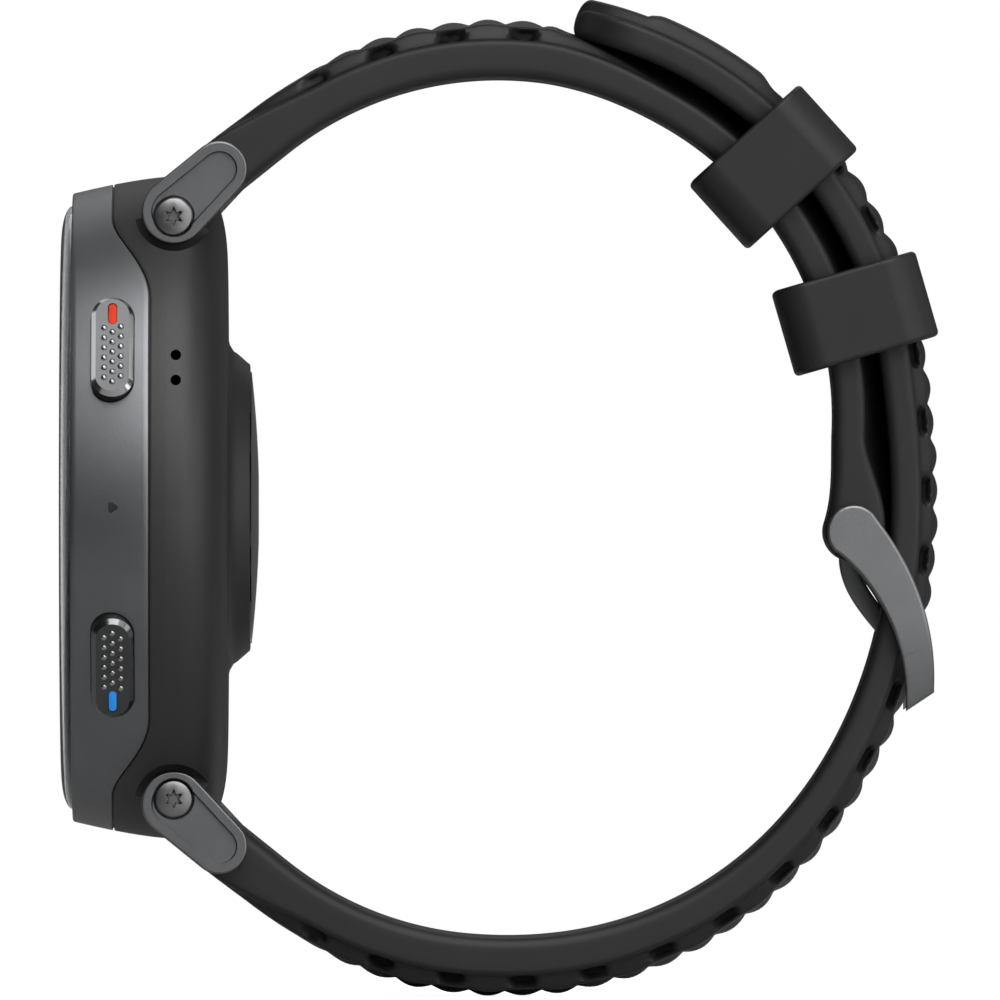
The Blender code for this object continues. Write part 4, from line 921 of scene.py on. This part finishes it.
def make_screw(name, side, spot, finishes):
    """A flat head turned with its shank, with a six-pointed socket cut into it."""
    head = SCREW_TOP - 0.0012
    profile = [(0, SCREW_TOP), (SCREW_RADIUS - 0.00017, SCREW_TOP)]
    profile += [(SCREW_RADIUS - 0.00013, SCREW_TOP - 0.00002)]
    profile += [(SCREW_RADIUS - 0.00002, SCREW_TOP - 0.00014), (SCREW_RADIUS, SCREW_TOP - 0.00019)]
    profile += [(SCREW_RADIUS, head), (0.0007, head), (0.0007, SCREW_TIP), (0, SCREW_TIP)]
    screw = lathe(name, profile, 96)
    layers = []
    for y, size in ((SCREW_TOP - 0.0006, 0.72), (SCREW_TOP, 1.0), (SCREW_TOP + FIT, 1.0)):
        star = []
        for i in range(72):
            angle = 5 * i
            point = abs((angle + 30) % 60 - 30) / 30
            star.append(polar(Vector((0, 0)), size * (0.00034 + 0.00034 * (1 - point) ** 1.2), angle + 30))
        layers.append([(spot.x, y, spot.y) for spot in star])
    cutter = skin("socket", layers)
    carve(screw, cutter)
    put(screw, Matrix.Translation((0, *spot)) @ Matrix.Rotation(-side * math.pi / 2, 4, "Z"))
    settle(screw, "watch", finishes["steel"], "screw_steel", name)


# Strap
class Route:
    """The inner face of a strap half as a fine line, measured along the middle of its thickness."""

    def __init__(self, points, side):
        self.points = points
        self.normals = []
        self.reach = [0.0]
        for i in range(len(points)):
            ahead = points[min(i + 1, len(points) - 1)] - points[max(i - 1, 0)]
            ahead.normalize()
            self.normals.append(Vector((-ahead.y, ahead.x)) * side)
        middles = [p + n * STRAP_WALL / 2 for p, n in zip(self.points, self.normals)]
        for before, after in zip(middles, middles[1:]):
            self.reach.append(self.reach[-1] + (after - before).length)
        self.length = self.reach[-1]

    def at(self, distance):
        """The point and outward normal this far from the lug pin; it runs straight past either end."""
        if distance <= 0:
            ahead = (self.points[1] - self.points[0]).normalized()
            return self.points[0] + ahead * distance, self.normals[0]
        if distance >= self.length:
            ahead = (self.points[-1] - self.points[-2]).normalized()
            return self.points[-1] + ahead * (distance - self.length), self.normals[-1]
        i = bisect_right(self.reach, distance)
        share = (distance - self.reach[i - 1]) / (self.reach[i] - self.reach[i - 1])
        point = self.points[i - 1].lerp(self.points[i], share)
        return point, self.normals[i - 1].lerp(self.normals[i], share).normalized()

    def nearest(self, spot):
        i = min(range(len(self.points)), key=lambda i: (self.points[i] - spot).length)
        return self.reach[i]


def upper_route():
    root = LUG_END - LUG_END_RADIUS * OUTWARD
    run = [root + ALONG * STRAP_RUN * i / 4 for i in range(4)]
    return Route(run + arc(WRIST, WRIST_RADIUS, 90 + STRAP_HEADING, BUCKLE_ANGLE, 300), 1)


def lower_route():
    root = LUG_END - LUG_END_RADIUS * OUTWARD
    run = mirrored([root + ALONG * STRAP_RUN * i / 4 for i in range(4)], -1)
    turn = arc(LOWER_WRIST, WRIST_RADIUS, -90 - STRAP_HEADING, TAIL_LEAVES, 80)
    past_bulb = WRIST_RADIUS + BUCKLE_PIN_RISE + BULB_RADIUS + TAIL_GAP + SEAM
    passing = polar(WRIST, past_bulb, BUCKLE_ANGLE)
    joining = polar(WRIST, TAIL_RADIUS, TAIL_JOINS)
    swing = (passing - turn[-1]).length * TAIL_BULGE
    way = heading(PASS_HEADING)
    first = bezier(turn[-1], heading(TAIL_LEAVES + 90) * swing, passing, way * swing, 120)
    settling = (joining - passing).length / 3
    second = bezier(passing, way * settling, joining, heading(TAIL_JOINS + 90) * settling, 48)
    tail = arc(WRIST, TAIL_RADIUS, TAIL_JOINS, TAIL_TIP, 140)
    return Route(run + turn + first[1:] + second[1:] + tail[1:], -1)


def pattern(x, distance, half, strength):
    """Height of the domes and depth of the pits that alternate along and across the outer face."""
    row = half * ROW_SHARE
    beat = (distance - FIRST_BUMP) / BUMP_PITCH
    number = round(x / row)
    egg = math.cos(math.tau * beat) * math.cos(math.pi * x / row)
    dome = BUMP * max(egg, 0) ** 0.85 * (1 - 0.55 * (x / (2 * row)) ** 2)
    shift = beat + (0 if number % 2 else 0.5)
    along = abs(shift - round(shift)) * BUMP_PITCH / (PIT_LENGTH / 2)
    across = abs(x - number * row) / (PIT_WIDTH / 2)
    if abs(number) == 2:
        across = (abs(x) - half + EDGE_PIT_INSET) / (EDGE_PIT_WIDTH / 2)
    reach = (along**2.4 + abs(across) ** 2.4) ** (1 / 2.4)
    pit = PIT_DEPTH * (1 - fade(reach, 0.7, 1.08))
    return dome * strength[0], pit * strength[1]


def strap_loop(route, distance, lift, half, wall, crown, strength=(0, 0), covered=0):
    """One loop of points round the strap, this far from the lug pin.

    The outer face has a small ledge at each side and a shoulder that rises to a low crown. Where the
    tail covers it, the crown is a narrower rib. Pits sink into the face, and those at the edge are pushed
    in from the side. The fourth value of a point is how hollow the face is there, which sets the painted
    shade it gets.
    """
    point, normal = route.at(distance)
    pit_shading = {}
    inner = min(STRAP_INNER_EDGE, wall / 3)
    outer = min(STRAP_OUTER_EDGE, wall / 3)
    low, high = half - inner, half - outer
    shape = [(-low + 2 * low * i / 10, 0) for i in range(10)]
    shape += [(low + inner * math.sin(t), inner * (1 - math.cos(t))) for t in quarter()]
    shape += [(half, inner + (wall - inner - outer) * i / 4) for i in range(1, 4)]
    shape += [(high + outer * math.cos(t), wall - outer * (1 - math.sin(t))) for t in quarter()]
    for i in range(1, 104):
        step = 1 - i / 52
        share = step * (1.3 - 0.3 * step**2)
        shoulder = 1 - fade(abs(share), SHOULDER_TO, SHOULDER_FROM)
        broad = (1 - 0.2 * share**2) * shoulder
        height = wall + crown * (broad + (max(1 - share**2, 0) ** 2 - broad) * covered)
        inwards = 0
        if strength[1]:
            dome, pit = pattern(share * high, distance, half, strength)
            edge = abs(share * high) > 1.5 * ROW_SHARE * half
            height += dome * shoulder - (EDGE_PIT_DROP if edge else 1) * pit
            inwards = math.copysign(EDGE_PIT_PUSH * pit if edge else 0, share)
            # Painted shade for this point of the pit, darkest where the pit is deepest
            pit_shading[len(shape)] = (EDGE_PIT_SHADE if edge else PIT_SHADE) * pit / PIT_DEPTH
        shape.append((share * high - inwards, height))
    shape += [(-high - outer * math.sin(t), wall - outer * (1 - math.cos(t))) for t in quarter()]
    shape += [(-half, wall - outer - (wall - inner - outer) * i / 4) for i in range(1, 4)]
    shape += [(-low - inner * math.cos(t), inner * (1 - math.sin(t))) for t in quarter()[:-1]]
    spots = [(x, *(point + normal * (lift + height))) for x, height in shape]
    return [(*spot, pit_shading.get(i, 0)) for i, spot in enumerate(spots)]


def quarter():
    return [math.radians(90 * i / 6) for i in range(7)]


def distances(start, end):
    count = math.ceil((end - start) / STRAP_STEP)
    return [start + (end - start) * i / count for i in range(count + 1)]


def end_round(radius, sign):
    """Steps over a round end: (distance past the centre, half thickness)."""
    turns = [math.radians(2 + 88 * i / ROUND_STEPS) for i in range(ROUND_STEPS)]
    steps = [(sign * radius * math.cos(turn), radius * math.sin(turn)) for turn in turns]
    return steps if sign < 0 else steps[::-1]


def root_wall(distance):
    return STRAP_WALL + (2 * LUG_END_RADIUS - STRAP_WALL) * (1 - fade(distance, 0, ROOT_FADE))


def half_width_at(distance, length):
    root = STRAP_WIDTH / 2 - FIT / 2
    return root + (STRAP_END_WIDTH / 2 - root) * fade(distance, 0, length / 2)


def root_loops(route):
    half = half_width_at(0, route.length)
    loops = []
    for past, thick in end_round(LUG_END_RADIUS, -1):
        loops.append(strap_loop(route, past, LUG_END_RADIUS - thick, half, 2 * thick, 0))
    return loops


def strength_at(distance, field_end):
    """How far domes and pits have come up: pits first after the lug, and both gone at the field's end."""
    last = 1 - fade(distance, field_end - BUMP_PITCH / 2, field_end)
    return fade(distance, 0.007, 0.0145) * last, fade(distance, 0.005, 0.0115) * last


def tail_gap(tail, spot):
    """How far the inner face of the tail lies outside this spot on the upper half."""
    out = spot - WRIST
    over = min(tail.points[len(tail.points) // 2 :], key=lambda point: (point - WRIST).angle(out))
    return (over - WRIST).length - out.length


def make_upper_strap(finishes):
    route = upper_route()
    tail = lower_route()
    end = route.length
    field_end = route.nearest(polar(WRIST, WRIST_RADIUS, TAIL_TIP))
    loops = root_loops(route)
    for distance in distances(0, end):
        swell = fade(distance, end - BULB_FADE, end)
        covered = fade(distance, field_end - BUMP_PITCH / 2, field_end + TAIL_COVERS)
        thin = covered * (1 - swell)
        wall = root_wall(distance) + (2 * BULB_RADIUS - STRAP_WALL) * swell - COVERED_THINNING * thin
        lift = (BUCKLE_PIN_RISE - BULB_RADIUS) * swell - COVERED_DROP * thin
        point, normal = route.at(distance)
        rib = tail_gap(tail, point + normal * (lift + wall)) + RIB_PRESS
        crown = (CROWN + (rib - CROWN) * covered) * fade(distance, 0, ROOT_FADE)
        half = half_width_at(distance, end)
        strength = strength_at(distance, field_end)
        loops.append(strap_loop(route, distance, lift, half, wall, crown, strength, covered))
    for past, thick in end_round(BULB_RADIUS, 1):
        lift = BUCKLE_PIN_RISE - thick
        loops.append(strap_loop(route, end + past, lift, STRAP_END_WIDTH / 2, 2 * thick, 0))
    strap = skin("strap_upper", loops)
    lug_bore = rod("lug_pin_bore", LUG_END, PIN_RADIUS + SEAM, -STRAP_WIDTH, STRAP_WIDTH, 32)
    buckle_bore = rod("buckle_pin_bore", buckle_pin(), PIN_RADIUS + SEAM, -STRAP_WIDTH, STRAP_WIDTH, 32)
    carve(strap, lug_bore, buckle_bore)
    half = TONGUE_WIDTH / 2 + SLIP
    carve(strap, rod("tongue_slot", buckle_pin(), BULB_RADIUS + SLIP, -half, half, 64))
    settle(strap, "watch", finishes["silicone"], "strap_silicone", "strap_upper", sharp=50)


def lower_heights(route, distance):
    """Side wall and crown of the lower half: it thins towards the buckle and has a ridge on its tail."""
    buckle = route.nearest(polar(WRIST, TAIL_RADIUS, BUCKLE_ANGLE))
    thin = fade(distance, buckle / 3, buckle - BUCKLE_LENGTH)
    wall = root_wall(distance) + (TAIL_WALL - STRAP_WALL) * thin
    crown = (CROWN + (TAIL_CROWN - CROWN) * thin) * fade(distance, 0, ROOT_FADE)
    low = route.nearest(polar(WRIST, TAIL_RADIUS, RIDGE_FROM))
    high = route.nearest(polar(WRIST, TAIL_RADIUS, RIDGE_TO))
    ridge = fade(distance, low, low + RIDGE_FADE) * (1 - fade(distance, high - RIDGE_FADE, high))
    return wall, crown + RIDGE * ridge


def make_lower_strap(finishes):
    route = lower_route()
    end = route.length
    field_end = route.nearest(polar(WRIST, TAIL_RADIUS, KEEPER_ANGLES["keeper_upper"]))
    loops = root_loops(route)
    for distance in distances(0, end - TIP_CORNER):
        wall, crown = lower_heights(route, distance)
        half = half_width_at(distance, end)
        loops.append(strap_loop(route, distance, 0, half, wall, crown, strength_at(distance, field_end)))
    for angle in range(3, 90, 3):
        turn = math.radians(angle)
        distance = end - TIP_CORNER * (1 - math.sin(turn))
        half = STRAP_END_WIDTH / 2 - TIP_CORNER * (1 - math.cos(turn))
        near = max(distance - (end - TIP_ROUND), 0) / TIP_ROUND
        thick = math.sqrt(max(1 - near**2, 0.0004))
        lift = TAIL_WALL / 2 * (1 - thick)
        loops.append(strap_loop(route, distance, lift, half, TAIL_WALL * thick, TAIL_CROWN * thick))
    strap = skin("strap_lower", loops)
    pin = (LUG_END.x, -LUG_END.y)
    cutters = [rod("lug_pin_bore", pin, PIN_RADIUS + SEAM, -STRAP_WIDTH, STRAP_WIDTH, 32)]
    cutters.append(tongue_blade("tongue_hole", TONGUE_PLAY))
    for number in range(-HOLES_EACH_WAY, HOLES_EACH_WAY + 1):
        if number:
            point, normal = route.at(hole_distance(route) + number * BUMP_PITCH)
            deep = TAIL_THICKNESS
            wall = [(HOLE_RADIUS, -deep), (HOLE_RADIUS, 2 * deep)]
            hole = lathe("hole", [(0, -deep), *wall, (0, 2 * deep)], 32)
            turn = Matrix.Rotation(math.atan2(normal.y, normal.x), 4, "X")
            put(hole, Matrix.Translation((0, *point)) @ turn)
            cutters.append(hole)
    carve(strap, *cutters)
    settle(strap, "watch", finishes["silicone"], "strap_silicone", "strap_lower", sharp=50)


# Buckle
def buckle_pin():
    return polar(WRIST, WRIST_RADIUS + BUCKLE_PIN_RISE, BUCKLE_ANGLE)


def tongue_line():
    pin, bar = buckle_pin(), BUCKLE_BAR
    tip = bar + (pin - bar).normalized() * (BAR_RADIUS + TONGUE_THICKNESS)
    return bezier(pin, heading(-108) * 0.0039, tip, heading(-52.3) * 0.0041, 36)


def tongue_blade(name, grow, first=3):
    """The tongue's bent blade, with rounded edges, or grown all round to cut its hole."""
    points = tongue_line()[first:]
    points[-1] = points[-1] + (points[-1] - points[-2]).normalized() * grow
    line = Route(points, 1)
    half = TONGUE_WIDTH / 2 + grow
    thick = TONGUE_THICKNESS / 2 + grow
    soft = 0.0002
    loops = []
    for i, (point, normal) in enumerate(zip(line.points, line.normals)):
        left = len(points) - 1 - i
        slim = 1 if grow else (1, 0.95, 0.82)[max(2 - left, 0)]
        corner = []
        for x, h, start in ((1, 1, 0), (-1, 1, 90), (-1, -1, 180), (1, -1, 270)):
            for t in range(5):
                turn = math.radians(start + 90 * t / 4)
                across = x * (half * slim - soft) + soft * math.cos(turn)
                corner.append((across, h * (thick * slim - soft) + soft * math.sin(turn)))
        loops.append([(x, *(point + normal * h)) for x, h in corner])
    return skin(name, loops)


def hole_distance(route):
    """Where the tongue passes the middle of the lower strap."""
    middles = [p + n * STRAP_WALL / 2 for p, n in zip(route.points, route.normals)]
    line = tongue_line()[12:]
    gaps = [(min((m - spot).length for spot in line), reach) for m, reach in zip(middles, route.reach)]
    return min(gaps)[1]


def inward(chord):
    return Vector((chord.y, -chord.x)).normalized()


def arm_outline():
    """A curved arm that tapers from the pin to the bar, which lies in the outer half of its end."""
    pin, bar = buckle_pin(), BUCKLE_BAR
    last = bar + inward(bar - pin) * BAR_OFFSET
    chord = last - pin
    depth = math.sqrt(ARM_BOW**2 - chord.length_squared / 4)
    centre = pin + chord / 2 + inward(chord) * depth
    start = math.degrees(math.atan2(*reversed(pin - centre)))
    end = math.degrees(math.atan2(*reversed(last - centre)))
    outer, inner = [], []
    for i in range(33):
        angle = start + (end - start) * i / 32
        half = ARM_RADIUS + (ARM_END_RADIUS - ARM_RADIUS) * (i / 32) ** ARM_TAPER
        outer.append(polar(centre, ARM_BOW + half, angle))
        inner.append(polar(centre, ARM_BOW - half, angle))
    ahead = heading(end - 90)
    outer.append(outer[-1] + ahead * ARM_PAST_BAR)
    inner.append(inner[-1] + ahead * (ARM_PAST_BAR + ARM_TOE))
    round_pin = arc(pin, ARM_RADIUS, start + 180, start, 32)[1:-1]
    return outer + inner[::-1] + round_pin


def bend_arm(arm, face):
    """Cuts the far half of an arm into strips and turns its face in towards the bar."""
    pin, way = buckle_pin(), (BUCKLE_BAR - buckle_pin()).normalized()
    with editing(arm):
        for step in range(14):
            spot = pin + way * (ARM_STRAIGHT + ARM_STRIP * step)
            bpy.ops.mesh.select_all(action="SELECT")
            bpy.ops.mesh.bisect(plane_co=(0, *spot), plane_no=(0, *way))
    for vertex in arm.data.vertices:
        along = max((vertex.co.yz - pin).dot(way) - ARM_STRAIGHT, 0)
        if abs(vertex.co.x - face) < 0.0003:
            vertex.co.x -= math.copysign(along**2 / ARM_TURN, face)


def make_buckle(finishes):
    pin, bar = buckle_pin(), BUCKLE_BAR
    inner = STRAP_END_WIDTH / 2 + SLIP
    outer = inner + ARM_THICKNESS
    buckle = rod("buckle_frame", bar, BAR_RADIUS, -inner - FIT, inner + FIT)
    for side in (1, -1):
        arm = plate("arm", arm_outline(), side * inner, side * outer, 0.00022, 4)
        bend_arm(arm, side * outer)
        carve(buckle, arm, operation="UNION")
    for side in (1, -1):
        reach = side * (outer - ARM_SKIN)
        carve(buckle, rod("arm_bore", pin, PIN_RADIUS + SEAM, side * (inner - FIT), reach, 32))
    settle(buckle, "buckle", finishes["satin"], "buckle_metal", "buckle_frame")
    tongue = tongue_blade("buckle_tongue", 0)
    half = TONGUE_WIDTH / 2
    carve(tongue, rod("loop", pin, TONGUE_LOOP_RADIUS, -half, half, 48), operation="UNION")
    carve(tongue, rod("loop_bore", pin, PIN_RADIUS + SEAM, -2 * half, 2 * half, 48))
    settle(tongue, "tongue", finishes["satin"], "buckle_metal", "buckle_tongue")


# Keepers
def make_keeper(name, body, finishes):
    half = STRAP_END_WIDTH / 2 + SLIP
    low = WRIST_RADIUS - SLIP
    high = TAIL_RADIUS + TAIL_THICKNESS + FIT
    end = KEEPER_LENGTH / 2
    outside = (half + KEEPER_SIDE, high + KEEPER_OUTER_BAND, end)
    inside = (-half - KEEPER_SIDE, low - KEEPER_INNER_BAND, -end)
    keeper = block(name, inside, outside, [(2, KEEPER_CORNER, 12), (None, KEEPER_EDGE, 5)])
    opening = block("opening", (-half, low, -2 * end), (half, high, 2 * end), [(2, KEEPER_EDGE, 5)])
    carve(keeper, opening)
    turn = Matrix.Rotation(math.radians(KEEPER_ANGLES[name]), 4, "X")
    put(keeper, Matrix.Translation((0, *WRIST)) @ turn)
    settle(keeper, body, finishes["keeper"], "strap_silicone", name, sharp=40)


# Pieces that keep their CAD shape
def dress_inner_pieces(finishes):
    dressing = {
        "case_seal": "rubber",
        "inner_frame": "carrier",
        "antenna_arc": "copper",
        "gps_module": "can",
        "main_board": "board",
        "microphone": "can",
        "battery": "foil",
        "vibration_motor": "can",
        "speaker": "can",
        "sensor_board": "board",
        "strap_pin_upper": "steel",
        "strap_pin_lower": "steel",
        "buckle_pin": "steel",
    }
    for side in ("upper", "lower"):
        dressing[f"button_{side}_seal"] = "rubber"
        dressing[f"button_{side}_clip"] = "steel"
        dressing[f"button_{side}_switch"] = "can"
    for node, coat in dressing.items():
        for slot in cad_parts[node].material_slots:
            slot.material = finishes[coat]


# Studio
def make_world():
    """White to the camera and through glass; reflections see a dim room with a white card at the back."""
    world = bpy.data.worlds.new("studio")
    bpy.context.scene.world = world
    world.use_nodes = True
    nodes, links = world.node_tree.nodes, world.node_tree.links
    room = nodes["Background"]
    room.inputs["Color"].default_value = (1, 1, 1, 1)
    white = nodes.new("ShaderNodeBackground")
    white.inputs["Color"].default_value = (1, 1, 1, 1)
    white.inputs["Strength"].default_value = 1.0
    way = nodes.new("ShaderNodeTexCoord")
    axes = nodes.new("ShaderNodeSeparateXYZ")
    links.new(way.outputs["Generated"], axes.inputs[0])
    side = ramp_node(nodes, -1, 1, ROOM_LEFT, ROOM_RIGHT)
    links.new(axes.outputs["Y"], side.inputs["Value"])
    links.new(side.outputs["Result"], room.inputs["Strength"])
    card = ramp_node(nodes, -0.999, -0.9996, 0, 1)
    links.new(axes.outputs["X"], card.inputs["Value"])
    path = nodes.new("ShaderNodeLightPath")
    gloss = nodes.new("ShaderNodeMath")
    gloss.operation = "MULTIPLY"
    links.new(path.outputs["Is Glossy Ray"], gloss.inputs[0])
    links.new(card.outputs["Result"], gloss.inputs[1])
    seen = nodes.new("ShaderNodeMath")
    seen.operation = "MAXIMUM"
    links.new(path.outputs["Is Camera Ray"], seen.inputs[0])
    links.new(path.outputs["Is Transmission Ray"], seen.inputs[1])
    share = nodes.new("ShaderNodeMath")
    share.operation = "MAXIMUM"
    links.new(seen.outputs[0], share.inputs[0])
    links.new(gloss.outputs[0], share.inputs[1])
    mix = nodes.new("ShaderNodeMixShader")
    links.new(share.outputs[0], mix.inputs["Fac"])
    links.new(room.outputs[0], mix.inputs[1])
    links.new(white.outputs[0], mix.inputs[2])
    links.new(mix.outputs[0], nodes["World Output"].inputs["Surface"])


def ramp_node(nodes, from_low, from_high, to_low, to_high):
    ramp = nodes.new("ShaderNodeMapRange")
    ramp.inputs["From Min"].default_value = from_low
    ramp.inputs["From Max"].default_value = from_high
    ramp.inputs["To Min"].default_value = to_low
    ramp.inputs["To Max"].default_value = to_high
    return ramp


def make_floor():
    deselect()
    bpy.ops.mesh.primitive_plane_add(size=FLOOR_SIZE, location=(0, VIEW_CENTRE[0], CAD_BOX[0].z - SEAM))
    floor = named("floor")
    material = finish("pale_floor", (0.9, 0.9, 0.9), 0.6)
    nodes, links = material.node_tree.nodes, material.node_tree.links
    glow = nodes.new("ShaderNodeEmission")
    path = nodes.new("ShaderNodeLightPath")
    add = nodes.new("ShaderNodeAddShader")
    links.new(path.outputs["Is Camera Ray"], glow.inputs["Strength"])
    links.new(nodes["Principled BSDF"].outputs[0], add.inputs[0])
    links.new(glow.outputs[0], add.inputs[1])
    links.new(add.outputs[0], nodes["Material Output"].inputs["Surface"])
    glow.inputs["Color"].default_value = (0.94, 0.94, 0.94, 1)
    floor.data.materials.append(material)


def make_softbox(name, right, up, distance, size, radiance):
    """A soft light that faces the watch, this many degrees to the right of the camera and above it."""
    turn, rise = math.radians(right), math.radians(up)
    way = Vector((math.cos(rise) * math.cos(turn), math.cos(rise) * math.sin(turn), math.sin(rise)))
    spot = Vector((0, *VIEW_CENTRE)) + way * distance
    bpy.ops.object.light_add(type="AREA", location=spot, rotation=way.to_track_quat("Z", "Y").to_euler())
    light = bpy.context.active_object
    light.name = name
    light.data.shape = "RECTANGLE"
    light.data.size, light.data.size_y = size
    light.data.energy = radiance * math.pi * size[0] * size[1]
    return light


def make_lights():
    """Front and side softboxes, a fill behind, and strips that only show as gloss along edges and domes."""
    make_softbox("front_softbox", 28, 5, 1.0, (0.9, 0.9), 1.3)
    make_softbox("side_softbox", 65, 15, 0.8, (0.25, 0.6), 2.0)
    make_softbox("front_fill", 22, 10, 1.0, (0.9, 0.9), 2.0).visible_glossy = False
    back = make_softbox("back_fill", 185, 10, 1.0, (0.9, 0.9), 2.2)
    back.visible_glossy = False
    back.visible_transmission = False
    for name, right, up, size, radiance in (
        ("top_gloss", 5, 52, (0.8, 1.2), 3.6),
        ("low_gloss", 0, -80, (0.5, 0.5), 1.6),
        ("back_gloss_high", 180, 42, (0.8, 0.6), 0.7),
        ("back_gloss_low", 180, -42, (0.8, 0.6), 0.7),
        ("left_strip", -105, 25, (0.3, 0.8), 0.9),
        ("right_strip", 105, 25, (0.3, 0.8), 0.9),
    ):
        make_softbox(name, right, up, 1.0, size, radiance).visible_diffuse = False


def make_camera():
    spot = (CAMERA_DISTANCE, *VIEW_CENTRE)
    bpy.ops.object.camera_add(location=spot, rotation=(math.pi / 2, 0, math.pi / 2))
    camera = bpy.context.active_object
    camera.name = "photo_camera"
    camera.data.sensor_width = 36
    camera.data.lens = 36 * CAMERA_DISTANCE / VIEW_WIDTH
    camera.data.clip_end = 20
    bpy.context.scene.camera = camera


def main():
    bpy.context.scene.view_settings.view_transform = "Standard"
    finishes = make_finishes()
    make_glass(finishes)
    make_display(finishes)
    make_bezel(finishes)
    make_rear_case(finishes)
    make_sensor_lens(finishes)
    make_button("upper", 1, finishes)
    make_button("lower", -1, finishes)
    for side in (1, -1):
        for end in (1, -1):
            make_link(side, end, finishes)
    make_upper_strap(finishes)
    make_lower_strap(finishes)
    make_buckle(finishes)
    make_keeper("keeper_upper", "upper_keeper", finishes)
    make_keeper("keeper_lower", "lower_keeper", finishes)
    dress_inner_pieces(finishes)
    make_world()
    make_floor()
    make_lights()
    make_camera()


main()
